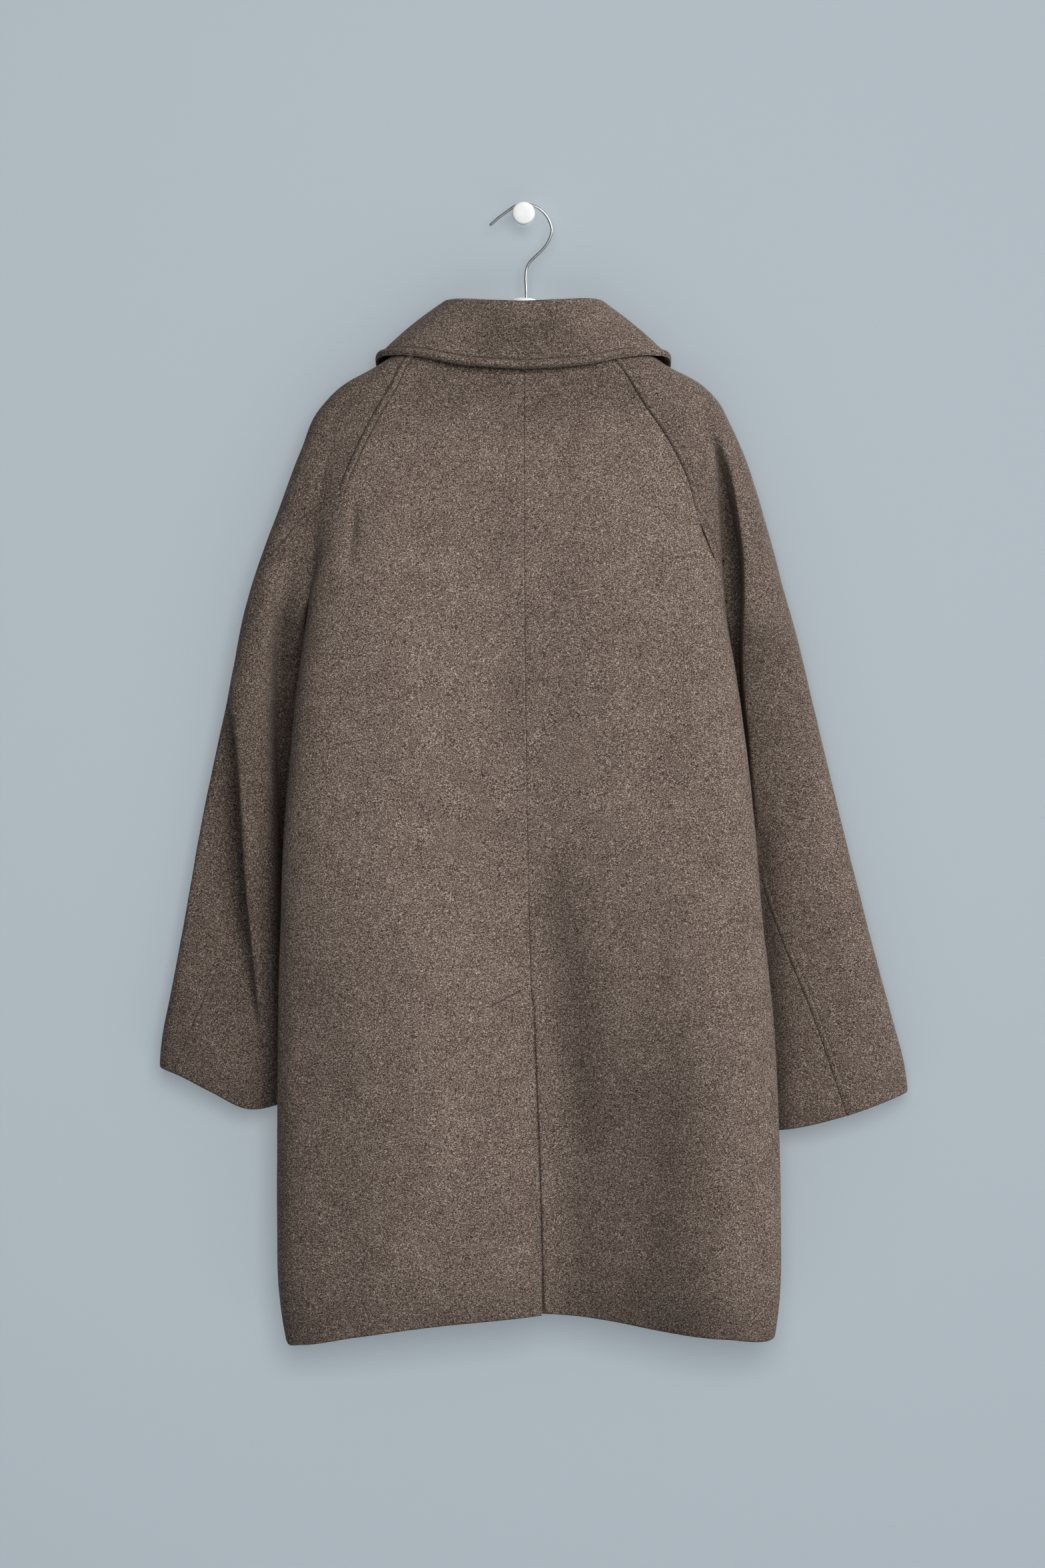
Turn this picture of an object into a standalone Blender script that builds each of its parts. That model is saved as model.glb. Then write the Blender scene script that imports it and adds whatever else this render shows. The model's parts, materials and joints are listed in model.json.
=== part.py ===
"""Long raglan coat on a hanger, hung from a wall peg with its back to the room.

Metres, +Z up. The origin is where the peg meets the wall, +Y runs into the wall and the coat's back faces -Y.
Tables are in millimetres: x outward from the centre line, y from the wall plane (negative is away from
the wall) and drop below the peg's axis. "left" and "right" are as seen from the room.
"""

import math

import bpy
import numpy as np

MM = 0.001
SIDES = ("left", "right")
SIGN = {"left": -1.0, "right": 1.0}

# Cloth
CLOTH_WALL = 3.0
COLLAR_WALL = 3.4
SEAM_GAP = 0.3
WELT_WIDTH = 9.0
WELT_CREST = 4.0
WELT_HEIGHT = 1.2
ARMPIT = {"left": 420.0, "right": 424.0}
BRANCH = {"left": 285.0, "right": 303.0}
SCOOP_POWER = 1.5
RAGLAN_RUN_IN = (-78.0, -18.0)
BLEND_MAX = 18.0
BLEND_REACH = 110.0
EDGE_SLOPE = 3.0
BODY_BACK_POWER = 3.2
BODY_FRONT_POWER = 1.8
SLEEVE_POWER = {"left": 2.0, "right": 2.4}
SLEEVE_SKEW = {"left": 0.6, "right": 1.0}
FOLD_WIDTH = {"left": 8.0, "right": 12.0}
FOLD_OUTER_SIDE = {"left": 1.0, "right": -1.0}

# Vent and front edges
VENT_DROP = 772.0
VENT_LAP = 6.0
VENT_SINK = 3.6
VENT_SINK_REACH = 60.0
VENT_SINK_RISE = (-90.0, -20.0)
VENT_LAP_RISE = (35.0, 65.0)
UNDERLAP_WIDTH = 42.0
UNDERLAP_FOOT = 1122.0
UNDERLAP_GAP = 0.5
FRONT_LAP = {"left": 36.0, "right": 32.0}
FRONT_SINK = {"left": 0.0, "right": 5.0}
FRONT_SINK_FROM = 85.0
FRONT_SINK_FULL = 45.0

# Trunk of the coat: half widths to each side, and the y of its side edges, back and front
TRUNK_COLUMNS = ("drop", "left", "right", "side", "back", "front")
TRUNK = (
    (95, 55, 55, -38, -54, -20),
    (120, 92, 92, -38, -60, -20),
    (150, 136, 136, -38, -69, -20),
    (200, 186, 184, -40, -80, -20),
    (250, 200, 197, -45, -90, -20),
    (300, 208, 200, -50, -98, -20),
    (360, 214, 203, -55, -106, -18),
    (420, 222, 208, -60, -112, -16),
    (464, 228, 215, -60, -114, -15),
    (540, 236, 226, -60, -116, -14),
    (630, 244, 236, -60, -116, -14),
    (740, 248, 245, -60, -116, -14),
    (830, 250, 253, -60, -114, -14),
    (950, 251, 258, -60, -111, -14),
    (1080, 251, 260, -60, -108, -14),
    (1170, 249, 262, -60, -105, -14),
)

# Sleeves: outer edge, inner edge, and how far the back and front of the tube swell from the line between
SLEEVE_COLUMNS = ("drop", "outer", "outer_y", "inner", "inner_y", "back", "front")
SLEEVE = {
    "left": (
        (95, 52, -38, 10, -38, 20, 16),
        (112, 82, -38, 20, -38, 22, 17),
        (122, 98, -38, 28, -38, 24, 18),
        (140, 126, -38, 40, -38, 26, 18),
        (156, 149, -38, 52, -38, 28, 18),
        (174, 182, -38, 70, -38, 30, 18),
        (199, 208, -38, 95, -38, 32, 18),
        (241, 227, -40, 125, -42, 34, 19),
        (299, 249, -42, 160, -48, 34, 20),
        (360, 271, -44, 195, -54, 32, 22),
        (420, 288, -46, 222, -60, 30, 24),
        (441, 292, -46, 226.3, -54, 30, 24),
        (464, 296, -46, 228, -46, 30, 24),
        (500, 303, -45, 225, -36, 30, 23),
        (540, 312, -44, 219, -29, 30, 22),
        (600, 325, -42, 212, -24, 32, 20),
        (750, 352, -38, 214, -22, 33, 18),
        (872, 376, -34, 230, -24, 32, 16),
        (960, 393, -34, 240, -24, 30, 16),
    ),
    "right": (
        (95, 52, -38, 10, -38, 20, 16),
        (112, 82, -38, 20, -38, 22, 17),
        (122, 98, -38, 28, -38, 24, 18),
        (140, 126, -38, 40, -38, 27, 18),
        (157, 149, -38, 52, -38, 30, 18),
        (170, 174, -38, 66, -38, 32, 18),
        (194, 200, -38, 86, -38, 36, 18),
        (211, 209, -38, 98, -39, 38, 18),
        (253, 228, -40, 126, -43, 40, 19),
        (293, 241, -42, 150, -47, 40, 20),
        (350, 257, -45, 181, -53, 40, 22),
        (396, 269, -47, 200, -58, 39, 24),
        (424, 277, -47, 208.7, -60, 38, 24),
        (446, 283, -47, 214, -54, 36, 24),
        (480, 291, -46, 216, -43, 34, 24),
        (540, 305, -44, 213, -30, 32, 22),
        (600, 320, -42, 211, -25, 31, 20),
        (713, 348, -39, 214, -22, 30, 18),
        (832, 380, -36, 223, -23, 30, 17),
        (899, 398, -34, 232, -24, 30, 16),
        (975, 411, -34, 242, -24, 30, 16),
    ),
}

# The long fold down each sleeve: where it runs and how much of the tube's swell is lost beyond it
FOLD_COLUMNS = ("drop", "x", "share")
FOLD = {
    "left": ((470, 300, 0.0), (500, 297, 0.3), (545, 292, 0.6), (590, 289, 0.72), (700, 282, 0.7),
             (765, 275, 0.5), (825, 268, 0.2), (870, 262, 0.0)),
    "right": ((205, 198, 0.0), (225, 202, 0.15), (263, 211, 0.45), (313, 219, 0.62), (363, 224, 0.66),
              (395, 224, 0.66), (440, 223, 0.66), (475, 225, 0.65), (510, 230, 0.6), (545, 234, 0.55),
              (600, 239, 0.25), (650, 242, 0.0)),
}

# Seam lines on the sections, as x at each drop
RAGLAN_BACK = {
    "left": ((100, 50), (118, 68), (135, 92), (150, 112), (180, 129), (211, 147), (247, 165), (283, 180),
             (306, 186), (345, 198), (430, 224)),
    "right": ((100, 46), (118, 62), (135, 78), (156, 96), (197, 122), (243, 152), (279, 168), (303, 174),
              (361, 196), (430, 211)),
}
RAGLAN_FRONT = {
    "left": ((100, 50), (132, 64), (200, 120), (300, 170), (345, 192), (430, 224)),
    "right": ((100, 50), (132, 64), (200, 118), (300, 165), (345, 186), (430, 211)),
}
SLEEVE_SEAM_BACK = {
    "left": ((310, 214), (349, 249), (362, 264), (400, 276), (440, 283), (489, 291), (545, 300), (590, 297),
             (700, 290), (726, 292), (777, 309), (856, 341), (960, 378)),
    "right": ((326, 192), (369, 211), (424, 226), (475, 229), (540, 231), (620, 233), (692, 243), (745, 264),
              (813, 292), (923, 330), (975, 348)),
}
SLEEVE_SEAM_FRONT = {
    "left": ((340, 198), (420, 238), (600, 250), (750, 268), (885, 292), (960, 305)),
    "right": ((345, 194), (424, 230), (600, 245), (750, 265), (900, 300), (975, 316)),
}
CENTRE_BACK = ((95, 0), (500, 2), (772, 7), (959, 14), (1170, 20))

# Edges: neck and hem as drops across each panel, cuffs as drops at each x
NECK_BACK = ((0.0, 122), (1.0, 118))
NECK_SLEEVE = ((0.0, 118), (0.45, 112), (1.0, 132))
NECK_FRONT = ((0.0, 132), (0.25, 152), (0.5, 173), (1.0, 184))
HEM_BACK = {
    "left": ((0.0, 1128), (0.42, 1138), (0.66, 1146), (0.86, 1154), (1.0, 1153)),
    "right": ((0.0, 1127), (0.28, 1133), (0.45, 1140), (0.7, 1146), (1.0, 1145)),
}
HEM_FRONT = {
    "left": ((0.0, 1153), (0.5, 1140), (1.0, 1128)),
    "right": ((0.0, 1145), (0.5, 1138), (1.0, 1128)),
}
CUFF = {
    "left": ((225, 900), (240, 909), (253, 914), (279, 917), (320, 898), (354, 881), (380, 872)),
    "right": ((225, 941), (258, 939), (330, 923), (394, 900), (410, 894)),
}

# Collar: roll line and outer edge, from the centre back (0) round to the front end (1)
COLLAR_COLUMNS = ("along", "roll_x", "roll_y", "roll_drop", "edge_x", "edge_y", "edge_drop")
COLLAR = (
    (0.00, 0, -70, 92, 0, -80, 162.5),
    (0.18, 38, -68, 90.5, 62, -79.5, 158),
    (0.32, 65, -58, 88.5, 106, -76, 149),
    (0.42, 75, -47, 88.5, 133, -65, 146),
    (0.50, 78, -37, 89, 151, -42, 148),
    (0.54, 77, -31, 91, 152, -23, 154),
    (0.58, 75, -24, 94, 148.5, -12, 168),
    (0.72, 59, -14, 112, 118, -5, 210),
    (0.86, 38, -12, 136, 87, -4.5, 241),
    (1.00, 14, -12, 156, 58, -4.5, 260),
)
COLLAR_ROLL_RADIUS = 6.0
COLLAR_STAND_GAP = 3.2
COLLAR_BELLY = 2.5
COLLAR_WELT_WIDTH = 9.0
COLLAR_WELT_SLOPE = 1.5
COLLAR_WELT_HEIGHT = 1.0
COLLAR_FOOT_GAP = 0.5
COLLAR_ROLL_DEGREES = (180, 135, 90, 45, 5)
COLLAR_STAND_SHARES = (0.0, 0.5)
COLLAR_FALL_SHARES = (0.22, 0.45, 0.66)
NECK_AXIS_Y = -38.0

# Grid sizes of the cloth panels, and the search steps that place them
ROWS_YOKE = 7
ROWS_TRUNK = 13
ROWS_SLEEVE = 16
COLUMNS_BACK = 10
COLUMNS_FRONT = 8
COLUMNS_TOP = 13
COLUMNS_COLLAR = 26
ROWS_UNDERLAP = 8
COLUMNS_UNDERLAP = 3
UNDER_HALF = (0.0, 0.07, 0.15, 0.26, 0.38, 0.5)
EDGE_CROWDING = 1.35
CREASE_COSINE = -0.3
SECTION_POINTS = 220
HALVINGS = 40
CUFF_FIRST_DROP = 900.0
CUFF_STEPS = 6
TINY = 1e-6

# Hanger, hook and peg
HANGER_Y = -36.0
HANGER_PATH = ((-176, -194), (-146, -172), (-100, -141), (-50, -121), (0, -114), (50, -121), (100, -141),
               (146, -173), (172, -193))
HANGER_HALF_DEPTH = 8.0
HANGER_HALF_HEIGHT = 8.0
HANGER_POINTS = 19
HANGER_SIDES = 12
HANGER_NECK_RADIUS = 15.0
HANGER_NECK_TOP = -86.0
HANGER_NECK_FOOT = -116.0
HANGER_NECK_SIDES = 20
HOOK_WIRE_RADIUS = 1.5
HOOK_POINTS = 36
HOOK_SIDES = 8
HOOK_Y = -34.0
HOOK_PATH = ((-33.6, -10.6), (-26, -4), (-16.7, 2.9), (-8.5, 8.4), (0, 10.2), (9.9, 8.9), (20.2, 2.2),
             (26.8, -7.4), (29, -16.2), (26.8, -25), (20.9, -34.6), (12.8, -42.7), (6.2, -49.4),
             (3.2, -56), (2.2, -64.9), (2.6, -75.0), (3.0, -85.5))
PEG_PROFILE = ((8.1, 0.0), (8.1, -39.6), (10.6, -40.0), (11.5, -41.2), (11.5, -46.6), (10.4, -47.8),
               (8.0, -48.2))
PEG_SIDES = 24

# Buttons
BUTTON_DROPS = (310.0, 460.0, 610.0, 760.0)
BUTTON_RADIUS = 12.0
BUTTON_THICKNESS = 4.0
BUTTON_RIM = 1.2
BUTTON_SIDES = 18
BUTTON_CLEARANCE = 0.5
BUTTON_PROBES = 5

# Finishes: colour, roughness and metallic
FINISHES = {
    "wool": ((0.125, 0.098, 0.08), 0.95, 0.0),
    "horn": ((0.07, 0.05, 0.035), 0.4, 0.0),
    "white_paint": ((0.82, 0.82, 0.8), 0.45, 0.0),
    "steel": ((0.6, 0.6, 0.6), 0.25, 1.0),
}


def smooth_curve(rows, column=1):
    """Return a smooth function through a table's rows, from its first column to the given one."""
    table = np.array(rows, dtype=float)
    knots = table[:, 0]
    values = table[:, column]
    slopes = np.gradient(values, knots)

    def at(place):
        place = np.clip(place, knots[0], knots[-1])
        cell = np.clip(np.searchsorted(knots, place) - 1, 0, len(knots) - 2)
        width = knots[cell + 1] - knots[cell]
        t = (place - knots[cell]) / width
        start = (1 + 2 * t) * (1 - t) ** 2 * values[cell] + t * (1 - t) ** 2 * width * slopes[cell]
        end = t * t * (3 - 2 * t) * values[cell + 1] + t * t * (t - 1) * width * slopes[cell + 1]
        return start + end

    return at


def curves(rows, columns):
    """Return one smooth function for each named column of a table."""
    return {name: smooth_curve(rows, index) for index, name in enumerate(columns) if index}


def ease(t):
    """Rise smoothly from 0 to 1."""
    t = np.clip(t, 0.0, 1.0)
    return t * t * (3 - 2 * t)


TRUNK_AT = curves(TRUNK, TRUNK_COLUMNS)
SLEEVE_AT = {side: curves(SLEEVE[side], SLEEVE_COLUMNS) for side in SIDES}
FOLD_AT = {side: curves(FOLD[side], FOLD_COLUMNS) for side in SIDES}
RAGLAN_BACK_AT = {side: smooth_curve(RAGLAN_BACK[side]) for side in SIDES}
RAGLAN_FRONT_AT = {side: smooth_curve(RAGLAN_FRONT[side]) for side in SIDES}
CENTRE_BACK_AT = smooth_curve(CENTRE_BACK)
CUFF_AT = {side: smooth_curve(CUFF[side]) for side in SIDES}
COLLAR_AT = curves(COLLAR, COLLAR_COLUMNS)


# Sections of the trunk and sleeves

def trunk_face(side, face, x, drop):
    """Give the y of the trunk's back or front at x, running off steeply past its side edge."""
    half = TRUNK_AT[side](drop)
    edge = TRUNK_AT["side"](drop)
    middle = TRUNK_AT[face](drop)
    power = BODY_BACK_POWER if face == "back" else BODY_FRONT_POWER
    share = np.clip(np.abs(x) / half, 0.0, 1.0)
    swell = (1 - share ** power) ** (1 / power)
    away = 1.0 if face == "back" else -1.0
    return edge + (middle - edge) * swell + away * EDGE_SLOPE * np.maximum(np.abs(x) - half, 0.0)


def sleeve_face(side, face, x, drop):
    """Give the y of a sleeve's back or front at x, running off steeply past its inner edge."""
    at = SLEEVE_AT[side]
    outer = at["outer"](drop)
    inner = at["inner"](drop)
    across = (outer - x) / (outer - inner)
    t = np.clip(across, 0.0, 1.0)
    line = at["outer_y"](drop) + (at["inner_y"](drop) - at["outer_y"](drop)) * t
    power = SLEEVE_POWER[side]
    swell = (1 - np.abs(2 * t ** SLEEVE_SKEW[side] - 1) ** power) ** (1 / power)
    runoff = EDGE_SLOPE * np.maximum(inner - x, 0.0)
    if face == "front":
        return line + at["front"](drop) * swell - runoff
    fold = FOLD_AT[side]
    beyond = FOLD_OUTER_SIDE[side] * (x - fold["x"](drop)) / FOLD_WIDTH[side]
    lost = fold["share"](drop) * ease(beyond)
    return line - at["back"](drop) * swell * (1 - lost) + runoff


def blend_width(side, drop):
    """Give how softly the trunk runs into the sleeve, down to a sharp crease at the armpit."""
    return BLEND_MAX * ease((ARMPIT[side] - drop) / BLEND_REACH)


def joined_face(side, face, x, drop):
    """Give the y of the trunk and sleeve run together, above the armpit."""
    trunk = trunk_face(side, face, x, drop)
    sleeve = sleeve_face(side, face, x, drop)
    width = np.maximum(blend_width(side, drop), TINY)
    near = np.maximum(width - np.abs(trunk - sleeve), 0.0) ** 2 / (4 * width)
    if face == "back":
        return np.minimum(trunk, sleeve) - near
    return np.maximum(trunk, sleeve) + near


def crease_x(side, face, drop):
    """Find where the trunk's face meets the sleeve's, by halving."""
    high = TRUNK_AT[side](drop)
    low = np.minimum(SLEEVE_AT[side]["inner"](drop), high)
    away = 1.0 if face == "back" else -1.0
    for _ in range(HALVINGS):
        middle = (low + high) / 2
        apart = trunk_face(side, face, middle, drop) - sleeve_face(side, face, middle, drop)
        trunk_inside = away * apart < 0
        low = np.where(trunk_inside, middle, low)
        high = np.where(trunk_inside, high, middle)
    return (low + high) / 2


def raglan_x(side, face, drop):
    """Give the raglan seam's x, which runs into the crease near the armpit."""
    table = RAGLAN_BACK_AT if face == "back" else RAGLAN_FRONT_AT
    start, full = RAGLAN_RUN_IN
    into = ease((drop - ARMPIT[side] - start) / (full - start))
    return table[side](drop) * (1 - into) + crease_x(side, face, drop) * into


def sleeve_seam(side, face):
    """Give the curve of a sleeve seam's x, which starts on the raglan seam at the branch."""
    rows = SLEEVE_SEAM_BACK if face == "back" else SLEEVE_SEAM_FRONT
    start = float(raglan_x(side, face, np.array([BRANCH[side]]))[0])
    return smooth_curve(((BRANCH[side], start),) + rows[side])


SLEEVE_SEAM_AT = {(side, face): sleeve_seam(side, face) for side in SIDES for face in ("back", "front")}


def vent_rise(rise, drop):
    """Rise from 0 to 1 between two drops that are given from the vent's top."""
    return ease((drop - VENT_DROP - rise[0]) / (rise[1] - rise[0]))


def back_start(side, drop):
    """Give the x, outward, where a back panel begins at the centre back."""
    centre = CENTRE_BACK_AT(drop)
    lap = VENT_LAP * vent_rise(VENT_LAP_RISE, drop)
    return -centre if side == "left" else centre - lap


def vent_sink(side, x, drop):
    """Give how far the right back panel sinks under the left one at the vent."""
    if side == "left":
        return 0.0 * x
    near = 1 - ease((x - CENTRE_BACK_AT(drop)) / VENT_SINK_REACH)
    return VENT_SINK * vent_rise(VENT_SINK_RISE, drop) * near


def front_sink(side, x):
    """Give how far the right front sinks under the left one at the centre front."""
    return FRONT_SINK[side] * (1 - ease((x - FRONT_SINK_FULL) / (FRONT_SINK_FROM - FRONT_SINK_FULL)))


def run_length(x, y):
    """Give the length along each row of points, from its start."""
    steps = np.hypot(np.diff(x, axis=1), np.diff(y, axis=1))
    return np.concatenate([np.zeros((len(x), 1)), np.cumsum(steps, axis=1)], axis=1)


def half_round(start, end, outer, back_face, front_face, drop):
    """Lay points along one section: out along the back from start, and in along the front to end."""
    q = np.sin(np.linspace(0, math.pi / 2, SECTION_POINTS))[None, :]
    back_x = start + (outer - start) * q
    front_x = end + (outer - end) * q[:, ::-1]
    x = np.concatenate([back_x, front_x], axis=1)
    back_y = back_face(back_x, drop)
    front_y = front_face(front_x, drop)
    return x, np.concatenate([back_y, front_y], axis=1)


def trunk_section(side, drop):
    """Section of one half of the coat: trunk and sleeve joined above the armpit, trunk alone below."""
    high = drop < ARMPIT[side]
    outer = np.where(high, SLEEVE_AT[side]["outer"](drop), TRUNK_AT[side](drop))
    end = np.full_like(drop, -FRONT_LAP[side])

    def back_face(x, at):
        face = np.where(high, joined_face(side, "back", x, at), trunk_face(side, "back", x, at))
        return face + vent_sink(side, x, at)

    def front_face(x, at):
        face = np.where(high, joined_face(side, "front", x, at), trunk_face(side, "front", x, at))
        return face - front_sink(side, x)

    return half_round(back_start(side, drop), end, outer, back_face, front_face, drop)


def sleeve_section(side, drop):
    """Section of a sleeve below the armpit, from its inner edge round the back and home by the front."""
    q = (1 - np.cos(np.linspace(0, math.pi, SECTION_POINTS)))[None, :] / 2
    inner = SLEEVE_AT[side]["inner"](drop)
    outer = SLEEVE_AT[side]["outer"](drop)
    back_x = inner + (outer - inner) * q
    front_x = back_x[:, ::-1]
    back_y = sleeve_face(side, "back", back_x, drop)
    front_y = sleeve_face(side, "front", front_x, drop)
    return np.concatenate([back_x, front_x], axis=1), np.concatenate([back_y, front_y], axis=1)


def mark(x, length, face, target):
    """Find the length along each section at which its back or front passes an x."""
    half = x.shape[1] // 2
    found = np.empty(len(x))
    for row in range(len(x)):
        if face == "back":
            found[row] = np.interp(target[row], x[row, :half], length[row, :half])
        else:
            found[row] = np.interp(-target[row], -x[row, half:], length[row, half:])
    return found


def scoop_drop(side, u):
    """Give the drop of the under sleeve's top edge, which dips from the branch to the armpit."""
    rise = np.abs(1 - 2 * u) ** SCOOP_POWER
    return ARMPIT[side] - (ARMPIT[side] - BRANCH[side]) * rise


def panel_span(side, panel, u, drop, x, length, high):
    """Give the length along each section for a place u across a panel."""
    half = x.shape[1] // 2
    below = np.maximum(drop, BRANCH[side])
    if panel == "back":
        end = mark(x, length, "back", raglan_x(side, "back", drop)) if high else length[:, half - 1]
        return u * end
    if panel == "front":
        start = mark(x, length, "front", raglan_x(side, "front", drop)) if high else length[:, half]
        return start + u * (length[:, -1] - start)
    seam_back = mark(x, length, "back", SLEEVE_SEAM_AT[side, "back"](below))
    seam_front = mark(x, length, "front", SLEEVE_SEAM_AT[side, "front"](below))
    raglan_back = mark(x, length, "back", raglan_x(side, "back", drop)) if high else np.zeros(len(x))
    raglan_front = mark(x, length, "front", raglan_x(side, "front", drop)) if high else length[:, -1]
    if panel == "top":
        start = np.where(drop < BRANCH[side], raglan_back, seam_back)
        end = np.where(drop < BRANCH[side], raglan_front, seam_front)
        inside = np.clip(u, 0, 1)
        return start + WELT_WIDTH + inside * (end - start - 2 * WELT_WIDTH) + (u - inside) * WELT_WIDTH
    rise = np.clip((ARMPIT[side] - drop) / (ARMPIT[side] - BRANCH[side]), 0, 1)
    reach = np.maximum(0.5 * (1 - rise ** (1 / SCOOP_POWER)), TINY)
    back_part = seam_back + (raglan_back - seam_back) * np.clip(u / reach, 0, 1)
    front_part = seam_front + (raglan_front - seam_front) * np.clip((1 - u) / reach, 0, 1)
    return np.where(u <= 0.5, back_part, front_part)


def panel_points(side, panel, u, drop):
    """Give the outer points of a panel, for arrays of places across it and drops."""
    shape = u.shape
    u = u.ravel()
    drop = drop.ravel()
    points = np.empty((len(u), 3))
    for high in (True, False):
        chosen = np.nonzero((drop < ARMPIT[side] - TINY) == high)[0]
        if not len(chosen):
            continue
        at = drop[chosen][:, None]
        on_sleeve = panel in ("top", "under") and not high
        x, y = sleeve_section(side, at) if on_sleeve else trunk_section(side, at)
        length = run_length(x, y)
        place = panel_span(side, panel, u[chosen], drop[chosen], x, length, high)
        for row, point in enumerate(chosen):
            points[point, 0] = SIGN[side] * np.interp(place[row], length[row], x[row])
            points[point, 1] = np.interp(place[row], length[row], y[row])
    points[:, 2] = -drop
    return points.reshape(shape + (3,))


# Grids of places across each panel and drops down it

def trunk_drops(side, top, hem):
    """Give the drops down a trunk panel's columns: yoke, armhole and skirt, with the seams' own levels."""
    yoke = np.linspace(0, 1, ROWS_YOKE + 1)[:-1, None]
    upper = top + (BRANCH[side] - top) * yoke
    armhole = scoop_drop(side, np.array(UNDER_HALF))[:, None] + 0 * top
    skirt = np.linspace(0, 1, ROWS_TRUNK + 1)[1:, None]
    lower = ARMPIT[side] + (hem - ARMPIT[side]) * skirt
    return np.concatenate([upper, armhole, lower], axis=0)


def back_grid(side):
    """Back panel: from the centre back to the raglan and side seams."""
    u = 1 - (1 - np.linspace(0, 1, COLUMNS_BACK + 1)) ** EDGE_CROWDING
    drop = trunk_drops(side, smooth_curve(NECK_BACK)(u)[None, :], smooth_curve(HEM_BACK[side])(u)[None, :])
    return panel_points(side, "back", np.broadcast_to(u, drop.shape), drop)


def front_grid(side):
    """Front panel: from the raglan and side seams to past the centre front."""
    u = np.linspace(0, 1, COLUMNS_FRONT + 1) ** EDGE_CROWDING
    drop = trunk_drops(side, smooth_curve(NECK_FRONT)(u)[None, :], smooth_curve(HEM_FRONT[side])(u)[None, :])
    return panel_points(side, "front", np.broadcast_to(u, drop.shape), drop)


def cuff_drops(side, panel, u):
    """Find the drop at which each column of a sleeve panel meets the cuff's slanting line."""
    drop = np.full(u.shape, CUFF_FIRST_DROP)
    for _ in range(CUFF_STEPS):
        x = SIGN[side] * panel_points(side, panel, u, drop)[:, 0]
        drop = CUFF_AT[side](x)
    return drop


def top_columns():
    """Places across the top sleeve; those under 0 and over 1 lie on the seam welts."""
    crest = 1 - WELT_CREST / WELT_WIDTH
    inner = np.linspace(0, 1, COLUMNS_TOP + 1)
    return np.concatenate([[-1.0, -crest], inner, [1.0 + crest, 2.0]])


def top_grid(side):
    """Top sleeve: over the shoulder from raglan to raglan, then between the sleeve seams to the cuff."""
    u = top_columns()
    share = np.clip((u + 1) / 3, 0, 1)
    neck = smooth_curve(NECK_SLEEVE)(share)[None, :]
    yoke = np.linspace(0, 1, ROWS_YOKE + 1)[:-1, None]
    arm = np.linspace(0, 1, ROWS_SLEEVE + 1)[:, None]
    cuff = cuff_drops(side, "top", u)[None, :]
    drop = np.concatenate([neck + (BRANCH[side] - neck) * yoke, BRANCH[side] + (cuff - BRANCH[side]) * arm])
    return panel_points(side, "top", np.broadcast_to(u, drop.shape), drop)


def under_grid(side):
    """Under sleeve: from one sleeve seam round the inner edge to the other, scooped at the armpit."""
    half = np.array(UNDER_HALF)
    u = np.concatenate([half, 1 - half[-2::-1]])
    top = scoop_drop(side, u)[None, :]
    cuff = cuff_drops(side, "under", u)[None, :]
    drop = top + (cuff - top) * np.linspace(0, 1, ROWS_SLEEVE + 1)[:, None]
    return panel_points(side, "under", np.broadcast_to(u, drop.shape), drop)


# Closed walls from grids of outer points

def grid_normals(grid, facing):
    """Give unit normals of a grid of points, on the side that facing names."""
    down = np.gradient(grid, axis=0)
    across = np.gradient(grid, axis=1)
    normal = np.cross(down, across) * facing
    return normal / np.maximum(np.linalg.norm(normal, axis=2, keepdims=True), TINY)


def share_seam_normals(grids, normals):
    """Average the normals of points that panels share at a seam, unless they meet in a sharp crease."""
    shared = {}
    for name, grid in grids.items():
        for row, column in border_cells(grid):
            key = tuple(np.round(grid[row, column], 3))
            shared.setdefault(key, []).append((name, row, column))
    for cells in shared.values():
        units = np.array([normals[name][row, column] for name, row, column in cells])
        for unit, (name, row, column) in zip(units, cells):
            total = units[units @ unit > CREASE_COSINE].sum(axis=0)
            normals[name][row, column] = total / np.linalg.norm(total)


def border_cells(grid):
    """List the rows and columns of a grid's border points, once each, in order round it."""
    rows, columns = grid.shape[:2]
    top = [(0, c) for c in range(columns)]
    right = [(r, columns - 1) for r in range(1, rows)]
    bottom = [(rows - 1, c) for c in range(columns - 2, -1, -1)]
    left = [(r, 0) for r in range(rows - 2, 0, -1)]
    return top + right + bottom + left


def trimmed(grid, amount):
    """Draw a grid's border in by a small amount, which leaves the gap at each seam."""
    result = grid.copy()
    for edge, inner in ((0, 1), (-1, -2)):
        step = grid[inner] - grid[edge]
        result[edge] += amount * step / np.linalg.norm(step, axis=1, keepdims=True)
    for edge, inner in ((0, 1), (-1, -2)):
        step = grid[:, inner] - grid[:, edge]
        result[:, edge] += amount * step / np.linalg.norm(step, axis=1, keepdims=True)
    return result


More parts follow.
